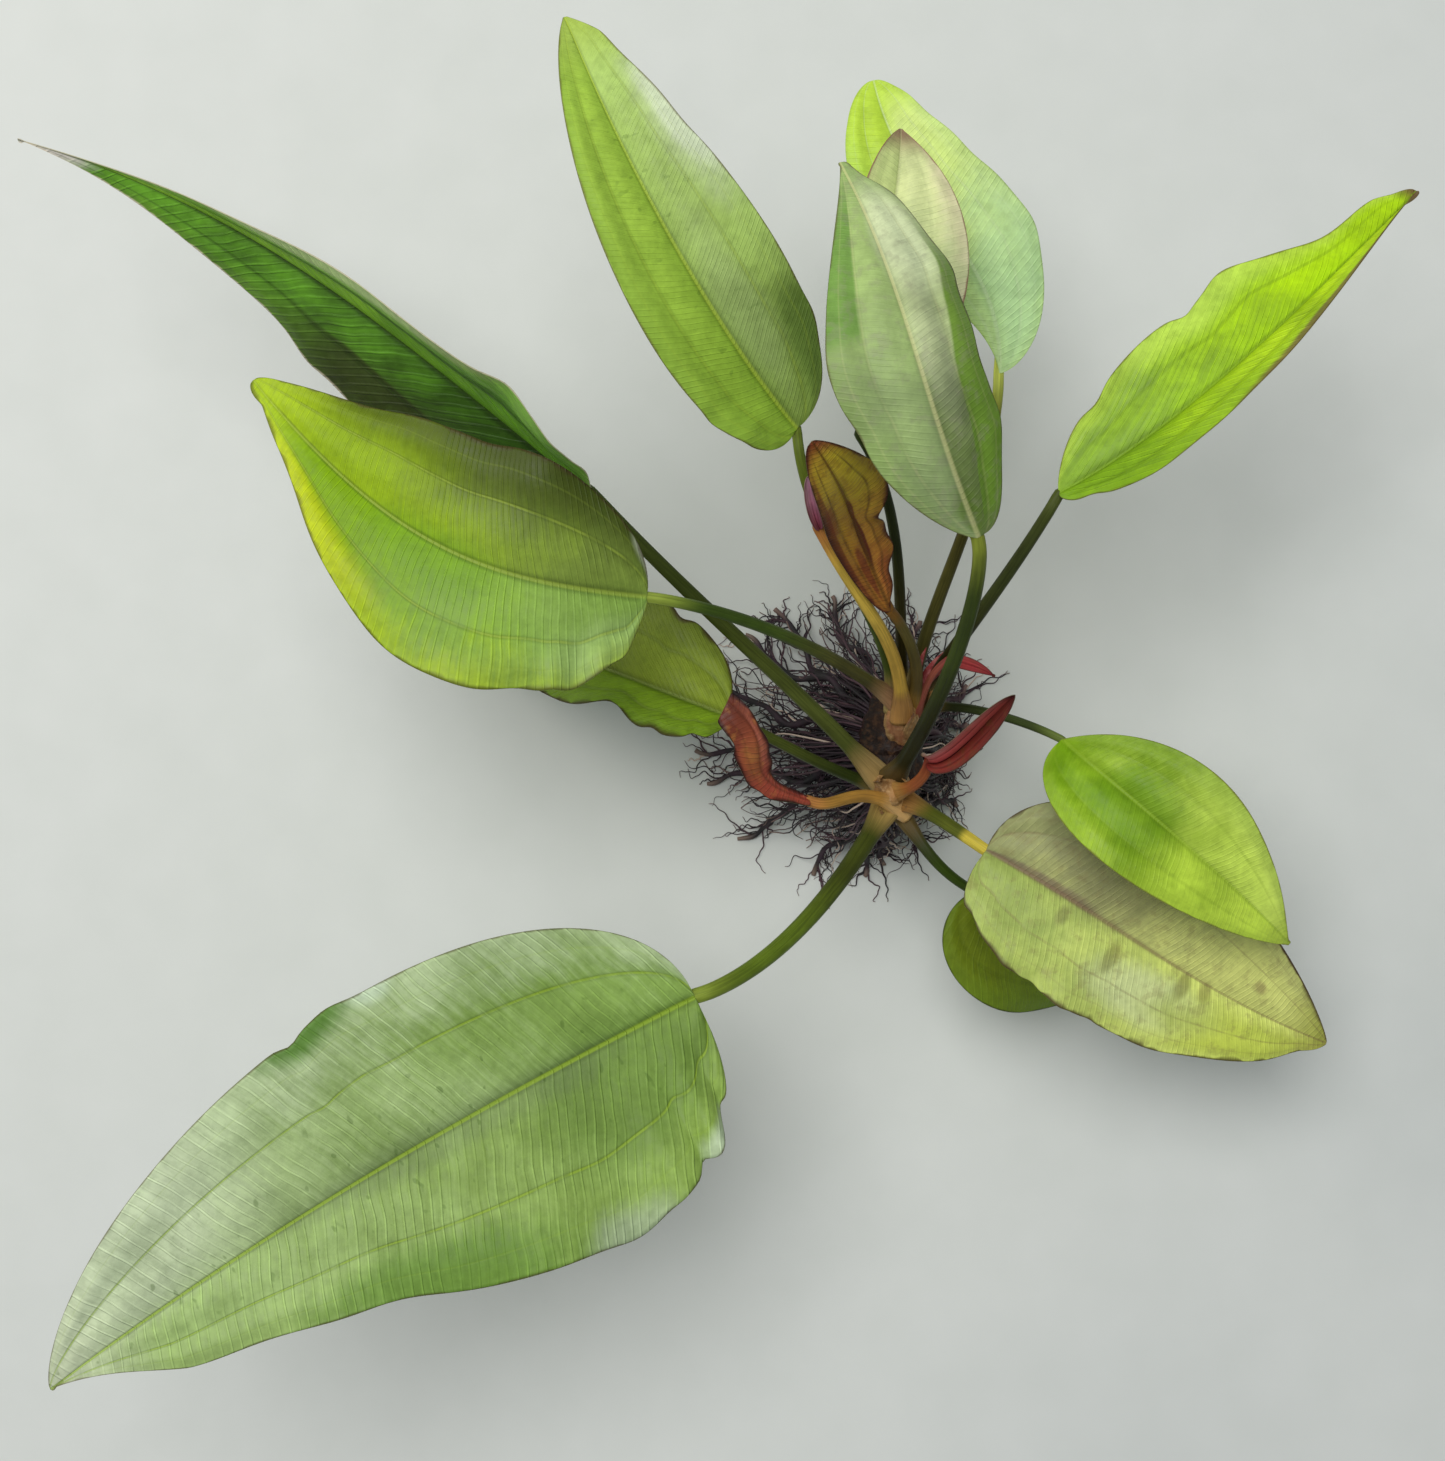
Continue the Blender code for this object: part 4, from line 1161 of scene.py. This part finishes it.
# %% Blade faces
THICK_BODY = 0.5
THICK_MARGIN = 0.16
BULGE = 0.5
GROOVE_SHARE = 0.28
VEINS = ((0.0, 1.0, 1.3), (SIDE_VEIN, 0.7, 0.5), (OUTER_VEIN, 0.5, 0.15))
LARGE_HALF_WIDTH = 10
LARGE_GRID = (150, 72)
SMALL_GRID = (70, 36)


def blade_relief(u, half, reach):
    """How far the upper and the lower face stand off the middle surface, in mm.

    A vein (where it runs, its width, its depth) is depth * exp(-(distance / width)^2): all of it
    shows as a rib below and a part as a groove above. Between veins both faces rise as sin^2.
    """
    body = smooth(half, 2.0, 14.0)
    rib = 0.0
    for line, width, depth in VEINS:
        gap = np.abs(reach - line) * half
        rib = rib + depth * np.exp(-((gap / width) ** 2)) * body * (1 - 0.7 * u)
    between = np.where(reach < SIDE_VEIN, reach / SIDE_VEIN, (reach - SIDE_VEIN) / (1 - SIDE_VEIN))
    bulge = BULGE * np.sin(np.pi * between) ** 2 * body * (reach < 0.999)
    thick = THICK_MARGIN + (THICK_BODY - THICK_MARGIN) * smooth((1 - reach) * half, 0.0, 3.0)
    above = bulge - GROOVE_SHARE * rib + thick / 2
    return above, above - thick - rib


def blade_piece(leaf):
    """The blade as a closed skin: the upper face from right to left, then the lower face back."""
    rows, columns = LARGE_GRID if max(leaf.half_width) > LARGE_HALF_WIDTH else SMALL_GRID
    t = np.linspace(0, 1, rows + 2)[1:-1]
    u = 0.25 * t + 0.75 * np.sin(np.pi * t / 2) ** 2
    v = np.linspace(-1, 1, columns + 1)
    middle, normal, run, half = blade_middle(leaf, u, v)
    facing = unit(np.cross(np.gradient(middle, axis=0), np.gradient(middle, axis=1)))
    facing = facing * np.sign((facing * normal[:, None]).sum(-1, keepdims=True))
    u, v, run = np.broadcast_arrays(u[:, None], v, run[:, None])
    above, below = blade_relief(u, half, np.abs(v))
    upper = middle + facing * above[..., None]
    lower = middle + facing * below[..., None]
    rings = np.concatenate([upper, lower[:, ::-1]], axis=1)

    here = np.stack([u, v, np.ones_like(u)], -1)
    in_mm = np.stack([run, half * v, half], -1)
    fields = {
        "on_leaf": np.concatenate([here, here[:, ::-1] * [1, 1, 0]], axis=1),
        "in_mm": np.concatenate([in_mm, in_mm[:, ::-1]], axis=1),
    }
    ends = np.array([[leaf.midrib[0], leaf.midrib[3]]], float)
    node = leaf.name + "_blade"
    finish = blade_material(leaf)
    piece = closed_skin(leaf.name + "_lamina", rings[None], ends, fields, finish)
    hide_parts(node)
    return piece


print("blade triangles:", sum(triangle_count(blade_piece(leaf)) for leaf in LEAVES))

# %% [markdown]
# ## Stalks
# Each stalk starts as a broad sheath around the crown, narrows to a round stalk with a shallow
# groove on its upper side, and runs on under the blade, where it sinks into the midrib. It is a
# profile carried along a path: the radius depends on the distance along and on the angle around.

# %% Stalk surface
STALK_AROUND = 28
STALK_RINGS = 90
RIB_RINGS = 15
STALK_END_TAPER = 0.72
THREAD_RADIUS = 0.25
UNDER_BLADE = 0.14
SHEATH_WIDER = 0.7
SHEATH_FLATTER = 0.1
GROOVE_DEPTH = 0.16
GROOVE_SPREAD = 0.45


def stalk_piece(leaf):
    """A tube along the stalk's curve and the first stretch of the midrib.

    Its radius shrinks evenly to the blade, then to a thread. Near the foot the tube is wider and
    flatter, by a share that falls smoothly to nothing at the end of the sheath. The groove is a bell
    curve around the upper side.
    """
    straight = np.linalg.norm(np.subtract(leaf.stalk[3], leaf.stalk[0]))
    stalk = through_four_points(leaf.stalk, np.linspace(-STALK_ROOTED / straight, 1, STALK_RINGS))
    rib = through_four_points(leaf.midrib, np.linspace(0, UNDER_BLADE, RIB_RINGS + 1)[1:])
    path = np.concatenate([stalk, rib])
    run = run_length(path)
    end = run[STALK_RINGS - 1]
    beyond = np.clip((run - end) / (run[-1] - end), 0, 1)
    radius = leaf.stalk_width / 2 * np.interp(run, [0, end], [1.0, STALK_END_TAPER])
    radius = radius * (1 - beyond) ** 0.8 + THREAD_RADIUS * beyond
    _, left, up = frame_along(path)
    path = path - up * ((radius * 0.95 + 0.55 * beyond) * smooth(run, end - 4.0, end + 1.5))[:, None]
    foot = 1 - smooth(run, 2.0, leaf.sheath + STALK_ROOTED)
    angle = full_turn(STALK_AROUND)
    groove = 1 - GROOVE_DEPTH * np.exp(-(((angle - np.pi / 2) / GROOVE_SPREAD) ** 2))
    wide = (radius * (1 + SHEATH_WIDER * foot))[:, None] * groove
    tall = (radius * (1 - SHEATH_FLATTER * foot))[:, None] * groove
    rings = tube_rings(path, left, up, wide, tall)

    share = np.clip(run / end, 0, 1)[:, None]
    turned = np.sin(angle) * 0.5 + np.abs(np.cos(angle / 2))
    fields = {"on_stalk": np.stack(np.broadcast_arrays(share, turned, run[:, None]), -1)}
    node = leaf.name + "_stalk"
    finish = stalk_material(leaf)
    ends = path[None, [0, -1]]
    piece = closed_skin(leaf.name + "_petiole", rings[None], ends, fields, finish)
    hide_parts(node)
    return piece


print("stalk triangles:", sum(triangle_count(stalk_piece(leaf)) for leaf in LEAVES))

# %% [markdown]
# ## Papery skin
# The crowns, the scraps of old sheath and the rhizome are covered in dry skin. It is streaked
# upwards, blotched, and flushed with red here and there. One recipe serves all of them, and a few
# red scales too, with other colours for each.


# %% Husk material
def husk_material(name, dark, middle, pale, red):
    """Streaks that run upwards, paler and darker patches, and a reddish blush."""
    r = Recipe(name)
    streak = r.noise(r.place((1.0, 1.0, 0.16)), 900.0, 4.0, 0.6)
    patch = r.noise(r.place(), 190.0, 3.0)
    blush = r.noise(r.place((1.2, 0.8, 1.0)), 110.0, 1.0)
    colour = r.mix(r.band(patch, 0.35, 0.65), dark, middle)
    colour = r.mix(r.times(r.band(streak, 0.45, 0.7), 0.6), colour, pale)
    colour = r.mix(r.times(r.band(blush, 0.55, 0.7), 0.5), colour, red)
    r.surface(colour, r.band(streak, 0.3, 0.7, 0.42, 0.66), 0.18)
    r.bump(r.plus(streak, r.times(patch, 0.6)), 0.0004, 0.8)
    return r.material


crown_husk = husk_material("crown_husk", "84603a", "ae8450", "cfae7c", "a0604a")
rhizome_bark = husk_material("rhizome_bark", "130b08", "281810", "543a26", "381a18")
scale_skin = husk_material("scale_skin", "7c2f30", "9c4444", "c07c74", "6a2224")
print("husks:", [husk.name for husk in (crown_husk, rhizome_bark, scale_skin)])

# %% [markdown]
# ## Crowns and rhizome
# Under the stalks lies the rhizome, a stem that grows along the ground. It is lumpy and ringed by
# the scars of old leaves. Two crowns stand on it. A crown is the bundle of sheaths at the feet of
# the stalks: it is a ribbed cone that leans the way the young leaves grow. The rhizome is a sphere
# whose radius is changed by waves in two directions, and a crown is a tube along a short curve with
# a rib for each sheath. Both stay closed and need no sculpting.

# %% Crown surfaces
RHIZOME_CENTRE = np.array([37.5, -5.0, 32.5])
RHIZOME_RADII = np.array([7.2, 15.0, 7.2])
RHIZOME_BUMPS = 0.05
RHIZOME_SCARS = 0.035
RHIZOME_GRID = (60, 72)
CROWN_AXES = {
    "front_crown": [(37.0, -11.0, 35.0), (36.9, -12.0, 40.5), (36.7, -13.0, 45.5), (36.4, -13.9, 50.0)],
    "back_crown": [(39.8, -1.0, 35.0), (39.7, 1.5, 40.5), (39.5, 4.3, 45.5), (39.6, 7.2, 50.0)],
}
CROWN_RADIUS = 4.3
CROWN_RIBS = 7
CROWN_GRID = (60, 84)


def on_rhizome(name, rings, ends, finish):
    """One finished piece that stands for a part of the rhizome's solid."""
    piece = closed_skin(name, rings, ends, {}, finish)
    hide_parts("rhizome")
    return piece


def rhizome_stem():
    """A stretched sphere of radius 1 + bumps * sin * sin, plus fine rings across its long axis."""
    polar = np.linspace(0, np.pi, RHIZOME_GRID[0] + 2)[1:-1][:, None]
    turn = full_turn(RHIZOME_GRID[1])[None, :]
    wave = np.sin(5 * turn + 3 * polar) * np.sin(4 * polar + 1.0) + 0.5 * np.sin(9 * turn - 7 * polar)
    y = np.sin(polar) * np.sin(turn)
    scars = RHIZOME_SCARS * np.sin(y * 26 + 0.8 * np.sin(3 * turn)) ** 3
    radius = 1 + RHIZOME_BUMPS * wave * np.sin(polar) + scars
    shape = np.stack([np.sin(polar) * np.cos(turn), y, np.cos(polar) * np.ones_like(turn)], -1)
    rings = (shape * radius[..., None] * RHIZOME_RADII + RHIZOME_CENTRE)[None]
    poles = np.array([[[0, 0, 1], [0, 0, -1]]]) * RHIZOME_RADII + RHIZOME_CENTRE
    return on_rhizome("rhizome_stem", rings, poles, rhizome_bark)


def crown(name, axis):
    """A tube whose radius swells and then closes, with ribs that twist a little on their way up."""
    up = np.linspace(0, 1, CROWN_GRID[0])
    turn = full_turn(CROWN_GRID[1])
    path = through_four_points(axis, up)
    swell = CROWN_RADIUS * np.interp(up, [0, 0.3, 0.65, 0.9, 1], [0.85, 1.0, 0.88, 0.6, 0.3])
    ribs = np.abs(np.sin(CROWN_RIBS / 2 * (turn[None] + 0.9 * up[:, None]))) ** 0.6
    fine = 0.02 * np.sin(31 * turn[None] + 5 * up[:, None])
    radius = swell[:, None] * (0.86 + 0.16 * ribs + fine)
    rings = tube_rings(path, np.array([1.0, 0.0, 0.0]), np.array([0.0, 1.0, 0.0]), radius, radius)
    return on_rhizome(name, rings[None], path[None, [0, -1]], crown_husk)


print("rhizome triangles:", triangle_count(rhizome_stem()))
for crown_name, axis in CROWN_AXES.items():
    print(crown_name, "triangles:", triangle_count(crown(crown_name, axis)))

# %% [markdown]
# ## Papery bracts
# Each bract is a thin scrap of old sheath that stands around a crown and flares outwards at its
# ragged top. It is a strip bent around the crown: one parameter goes up it, the other across.

# %% Bract surface
BRACTS_EACH = 5
BRACT_THICK = 0.16
BRACT_RADIUS = 4.4
BRACT_GRID = (26, 13)
BRACT_FEET = np.array([[37.0, -11.3, 36.5], [39.8, -0.3, 36.5]])
BRACT_LEAN = np.array([[-0.05, -0.2], [-0.02, 0.52]])
BRACT_SEED = 11


def bracts(rng):
    """A stack of bracts, every one a closed loop of points for each height above its foot."""
    number = len(BRACT_FEET) * BRACTS_EACH
    centre = np.repeat(BRACT_FEET, BRACTS_EACH, axis=0)
    lean = np.repeat(BRACT_LEAN, BRACTS_EACH, axis=0)[:, :, None, None]
    turn = rng.uniform(0, 2 * np.pi, number) + np.arange(number) * 2.4
    width = rng.uniform(0.45, 0.8, number)
    tall = rng.uniform(9.0, 17.0, number)
    flare = rng.uniform(0.2, 1.8, number)
    turn, width, tall, flare = (value[:, None, None] for value in (turn, width, tall, flare))
    up = np.linspace(0, 1, BRACT_GRID[0])[None, :, None]
    across = np.linspace(-1, 1, BRACT_GRID[1])[None, None, :]
    taper = (1 - up**1.6) ** 0.8 * 0.97 + 0.03
    angle = turn + across * width * taper
    ragged = 1 + 0.04 * np.sin(9 * across + 4 * turn) * up
    radius = BRACT_RADIUS - 0.5 * up + flare * up**3 + 0.12 * np.sin(5 * across + turn)
    height = tall * up * ragged

    def sheet(offset):
        """One face of every bract, offset mm outside the bract's own curve."""
        return np.stack([
            (radius + offset) * np.cos(angle) + lean[:, 0] * height,
            (radius + offset) * np.sin(angle) + lean[:, 1] * height,
            height + 0 * angle,
        ], -1) + centre[:, None, None]

    rings = np.concatenate([sheet(0.0), sheet(-BRACT_THICK)[:, :, ::-1]], axis=2)
    return on_rhizome("sheath_scraps", rings, rings[:, [0, -1]].mean(2), crown_husk)


print("bract triangles:", triangle_count(bracts(np.random.default_rng(BRACT_SEED))))

# %% [markdown]
# ## Red scales
# Beside the smallest red leaf stand a few slender red scales, the first hints of leaves to come.
# Each is a flat spindle along a short curve, pointed at its free end.

# %% Scale surface
SCALE_CURVES = np.array([
    [(41.0, 7.0, 50.0), (42.5, 10.5, 55.0), (44.0, 13.5, 58.0), (46.5, 16.5, 60.0)],
    [(41.5, 6.5, 49.0), (43.5, 10.0, 53.5), (46.0, 12.5, 56.0), (48.8, 14.6, 57.0)],
    [(40.6, 7.5, 50.0), (41.2, 11.5, 55.0), (42.0, 14.8, 58.0), (43.0, 17.5, 59.5)],
])
SCALE_WIDE = 1.15
SCALE_TALL = 0.45
SCALE_GRID = (40, 20)


def scales():
    """Flat spindles: the radius is the square root of sin(pi t), thinned towards the free end."""
    t = np.linspace(0, 1, SCALE_GRID[0])
    paths = np.stack([through_four_points(points, t) for points in SCALE_CURVES])
    _, left, up = frame_along(paths)
    swell = np.sqrt(np.sin(np.pi * np.clip(t, 0.02, 0.98))) * (1 - 0.75 * t)
    ridged = swell[:, None] * (1 + 0.12 * np.cos(5 * full_turn(SCALE_GRID[1])))
    rings = tube_rings(paths, left, up, SCALE_WIDE * ridged, SCALE_TALL * ridged)
    return on_rhizome("red_scales", rings, paths[:, [0, -1]], scale_skin)


print("red scale triangles:", triangle_count(scales()))

# %% [markdown]
# ## Root tubes and their finish
# All roots of one kind are worked out together: an array of start points, directions and lengths
# becomes an array of curves, and those become tubes in one mesh. Each tube knows how far along it a
# point lies, and a number of its own that picks how young it is.


# %% Root tubes
def bezier(points, t):
    """Cubic Bezier curves, one for each set of four control points in an array (curve, 4, xyz)."""
    t = t[None, :, None]
    a, b, c, d = (points[:, None, k] for k in range(4))
    return a * (1 - t) ** 3 + 3 * b * t * (1 - t) ** 2 + 3 * c * t**2 * (1 - t) + d * t**3


def root_tubes(name, paths, radii, aside, around, tint):
    """Tubes along many paths. Each tube keeps its own sideways direction, so that none is twisted."""
    ahead = unit(np.gradient(paths, axis=1))
    aside = aside[:, None]
    aside = unit(aside - (aside * ahead).sum(-1, keepdims=True) * ahead)
    round_radii = np.repeat(radii[..., None], around, axis=-1)
    rings = tube_rings(paths, aside, np.cross(ahead, aside), round_radii, round_radii)
    share = np.linspace(0, 1, paths.shape[1])[None, :, None]
    on_root = np.broadcast_arrays(share, tint[:, None, None], 0 * round_radii)
    fields = {"on_root": np.stack(on_root, -1)}
    return closed_skin(name, rings, paths[:, [0, -1]], fields, root_skin)


def root_material():
    """Dark brown to black, with a purple tint, and a few young roots and tips that are whitish."""
    r = Recipe("root_skin")
    share, tint, _ = r.field("on_root")
    patch = r.noise(r.place(), 240.0, 3.0)
    colour = r.mix(r.band(patch, 0.35, 0.65), "120c0e", "33202a")
    colour = r.mix(r.band(tint, 0.55, 0.7), colour, "4a3038")
    colour = r.mix(r.times(r.band(tint, 0.9, 0.93), 0.85), colour, "d8c0ae")
    colour = r.mix(r.times(r.band(share, 0.86, 1.0), 0.35), colour, "b89a86")
    r.surface(colour, r.band(patch, 0.3, 0.7, 0.5, 0.72))
    r.bump(r.noise(r.place(), 1400.0, 3.0), 0.00015, 0.6)
    return r.material


root_skin = root_material()
print("root finish:", root_skin.name)

# %% [markdown]
# ## Main roots
# The main roots are the legs the plant stands on. They leave the underside of the rhizome, arch out
# and run a little way along the ground. Turning by the golden angle from each root to the next
# spreads any number of them evenly, with no two in line.

# %% Main roots
ROOT_COUNT = 18
ROOT_RADIUS = 1.1
ROOT_TIP_RADIUS = 0.5
ROOT_RINGS = 64
ROOT_SIDES = 12
ROOT_REACH = 32.0
ROOT_LEAN = 12.0
ROOT_LEAN_TOWARDS = math.radians(150)
ROOT_SWAY = 1.9
ROOT_QUIVER = 0.7
ROOT_HEAVE = 1.2
ROOT_KNOBS = 0.12
GOLDEN_ANGLE = math.radians(137.508)
DOWN = np.array([0.0, 0.0, -1.0])
CLUMP_FOOT = RHIZOME_CENTRE * [1, 1, 0]


def outwards(turn):
    """The level direction at each turn, and the one a quarter turn to its left."""
    out = np.stack([np.cos(turn), np.sin(turn), 0 * turn], -1)
    return out, np.stack([-out[:, 1], out[:, 0], 0 * turn], -1)


def main_root_curves(number, turn):
    """Centre lines that start on the rhizome's skin, arch out and run along the ground.

    A sine of the distance sways each line sideways and up, times sin(pi t), which is 0 at its ends.
    """
    out, aside = outwards(turn)
    depth = 0.35 + 0.5 * ((number * 5) % ROOT_COUNT) / ROOT_COUNT
    level = np.sqrt(1 - depth**2)
    leaving = out * level[:, None] + DOWN * depth[:, None]
    start = RHIZOME_CENTRE + leaving * (RHIZOME_RADII - 1.5)
    reach = ROOT_REACH + ROOT_LEAN * np.cos(turn - ROOT_LEAN_TOWARDS)
    reach = reach * (0.86 + 0.28 * ((number * 7) % ROOT_COUNT) / ROOT_COUNT)
    bow = 2.5 * np.sin(number * 2.3)
    ground = -DOWN * ROOT_TIP_RADIUS
    controls = np.stack([
        start,
        start + out * (7.0 * level + 2.0)[:, None] + DOWN * 4.0,
        CLUMP_FOOT + out * (reach * 0.72)[:, None] + aside * bow[:, None] + ground * 2,
        CLUMP_FOOT + out * reach[:, None] + aside * (bow * 0.6)[:, None] + ground,
    ], axis=1)
    t = np.linspace(0, 1, ROOT_RINGS)
    paths = bezier(controls, t)
    nth = number[:, None]
    ends_still = np.sin(np.pi * t) ** 0.7
    sway = ROOT_SWAY * np.sin(t * (9 + nth % 4) + nth) + ROOT_QUIVER * np.sin(t * 23 + nth)
    paths = paths + aside[:, None] * (sway * ends_still)[..., None]
    paths[..., 2] += ends_still * ROOT_HEAVE * np.sin(t * 14 + nth * 2)
    knobs = 1 + ROOT_KNOBS * np.sin(t * 41 + nth * 1.7)
    radii = np.interp(t, [0, 1], [ROOT_RADIUS, ROOT_TIP_RADIUS]) * knobs
    paths[..., 2] = np.maximum(paths[..., 2], radii)
    return paths, radii, aside


number = np.arange(ROOT_COUNT)
main_paths, main_radii, main_aside = main_root_curves(number, number * GOLDEN_ANGLE)
main_tint = (number * 0.618) % 1.0 * 0.85
main = root_tubes("main_roots", main_paths, main_radii, main_aside, ROOT_SIDES, main_tint)
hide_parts(*[f"root_{k + 1:02d}" for k in range(ROOT_COUNT)])
print("main root triangles:", triangle_count(main))

# %% [markdown]
# ## Fine roots
# Two kinds of thin roots fill the clump. Some leave the rhizome itself and wander down. Others are
# side branches of the main roots: each starts at a point of a main root's own curve, so it can't
# float free. Both kinds are random, with a fixed seed, so that every run grows the same clump.

# %% Fine roots
FINE_COUNT = 620
BRANCH_COUNT = 640
FINE_RINGS = 26
FINE_SIDES = 5
FINE_SEED = 23
BRANCH_SEED = 41


def wandering(rng, paths, aside, most):
    """Paths bent sideways by two sine waves each, with more of it towards the free end."""
    count = len(paths)
    t = np.linspace(0, 1, paths.shape[1])
    pace = rng.uniform(5, 13, (count, 1))
    slow = rng.uniform(0.3, 1.0, (count, 1)) * np.sin(t * pace + rng.uniform(0, 6, (count, 1)))
    fast = 0.2 * np.sin(t * rng.uniform(16, 30, (count, 1)))
    paths = paths + aside[:, None] * (most * (slow + fast) * t)[..., None]
    paths[..., 2] += 0.35 * most * np.sin(t * pace * 0.8) * t * (1 - t)
    return paths


def thin_roots(name, rng, controls, aside, most, thick):
    """Wandering tubes that thin to about a third, none of them deeper than the ground."""
    paths = wandering(rng, bezier(controls, np.linspace(0, 1, FINE_RINGS)), aside, most)
    radii = rng.uniform(*thick, (len(paths), 1)) * (1 - 0.65 * np.linspace(0, 1, FINE_RINGS))
    paths[..., 2] = np.maximum(paths[..., 2], radii + 0.1)
    tint = rng.uniform(0, 1, len(paths))
    return root_tubes(name, paths, radii, aside, FINE_SIDES, tint)


def from_rhizome(rng):
    """Thin roots that leave the rhizome's sides and underside and sink to the ground or near it."""
    turn = rng.uniform(0, 2 * np.pi, FINE_COUNT)
    out, aside = outwards(turn)
    depth = rng.uniform(-0.1, 0.95, FINE_COUNT)
    leaving = out * np.sqrt(1 - depth**2)[:, None] + DOWN * depth[:, None]
    start = RHIZOME_CENTRE + leaving * (RHIZOME_RADII - 1.0)
    reach = rng.uniform(0.25, 1.0, FINE_COUNT) * (30.0 + 11.0 * np.cos(turn - ROOT_LEAN_TOWARDS))
    last = rng.uniform(0.5, 14.0, FINE_COUNT) * rng.uniform(0, 1, FINE_COUNT)
    height = -DOWN * (last + 0.4)[:, None]
    controls = np.stack([
        start,
        start + leaving * rng.uniform(4, 10, FINE_COUNT)[:, None],
        CLUMP_FOOT + out * (reach * rng.uniform(0.6, 1.0, FINE_COUNT))[:, None] + height - DOWN * 5,
        CLUMP_FOOT + out * reach[:, None] + height,
    ], axis=1)
    return thin_roots("fine_roots", rng, controls, aside, 2.6, (0.2, 0.42))


def from_main_roots(rng):
    """Side branches: each leaves one point of a main root sideways and droops a little."""
    parent = rng.integers(0, ROOT_COUNT, BRANCH_COUNT)
    place = rng.integers(8, 60, BRANCH_COUNT)
    start = main_paths[parent, place]
    ahead = unit(main_paths[parent, place + 2] - start)
    turned = rng.choice([-1.0, 1.0], BRANCH_COUNT)[:, None] * unit(np.cross(ahead, -DOWN))
    heading = unit(turned * rng.uniform(0.3, 1.0, (BRANCH_COUNT, 1)) + ahead * 0.8)
    long = rng.uniform(4.0, 13.0, BRANCH_COUNT)[:, None]
    sink = DOWN * rng.uniform(0.0, 0.6, (BRANCH_COUNT, 1))
    controls = np.stack([
        start, start + heading * long * 0.35, start + (heading + sink * 0.6) * long * 0.7,
        start + (heading + sink) * long,
    ], axis=1)
    return thin_roots("branch_roots", rng, controls, np.cross(heading, -DOWN), 1.6, (0.14, 0.3))


print("fine root triangles:", triangle_count(from_rhizome(np.random.default_rng(FINE_SEED))))
print("branch root triangles:", triangle_count(from_main_roots(np.random.default_rng(BRANCH_SEED))))

# %% [markdown]
# ## Light and ground
# The plant lies under a bright, even sky. One broad lamp overhead does most of the work. A second
# one, low at the back left, gives the leaves their pale sheen, and the pale world fills the shade.

# %% Light and ground
GROUND_SIZE = 3.0
LIT_PLACE = np.array([0.0, 0.0, 0.05])
SKY_COLOUR = (0.86, 0.93, 1.0, 1.0)
SKY_STRENGTH = 0.3


def lamp(name, place, size, power, chart):
    """A round lamp that faces LIT_PLACE: tilted by acos(-z / length), then turned about Z."""
    data = bpy.data.lights.new(name, "AREA")
    data.shape = "DISK"
    data.size = size
    data.energy = power
    data.color = light(chart)[:3]
    made = bpy.data.objects.new(name, data)
    toward = LIT_PLACE - place
    from_above = math.acos(-toward[2] / np.linalg.norm(toward))
    made.rotation_euler = (from_above, 0, math.atan2(toward[1], toward[0]) - math.pi / 2)
    made.location = place
    bpy.context.scene.collection.objects.link(made)
    return made.name


print("lit by:", lamp("sky_lamp", (-0.2, 0.3, 1.3), size=0.8, power=11.5, chart="ffffff"))
print("and by:", lamp("side_lamp", (-0.8, 0.5, 0.55), size=0.4, power=3.2, chart="fff8ee"))

world = bpy.data.worlds.new("sky")
world.use_nodes = True
sky = world.node_tree.nodes["Background"]
sky.inputs["Color"].default_value = SKY_COLOUR
sky.inputs["Strength"].default_value = SKY_STRENGTH
bpy.context.scene.world = world

ground_mesh = bpy.data.meshes.new("ground")
corners = GROUND_SIZE / 2 * np.array([[-1, -1, 0], [1, -1, 0], [1, 1, 0], [-1, 1, 0]])
ground_mesh.from_pydata(corners.tolist(), [], [(0, 1, 2, 3)])
pale = Recipe("pale_ground")
pale.surface(pale.mix(pale.noise(pale.place(), 60.0, 4.0), "cfd2cc", "d8dad5"), 0.8)
ground_mesh.materials.append(pale.material)
floor = bpy.data.objects.new("ground", ground_mesh)
bpy.context.scene.collection.objects.link(floor)
bpy.context.scene.view_settings.view_transform = "Standard"
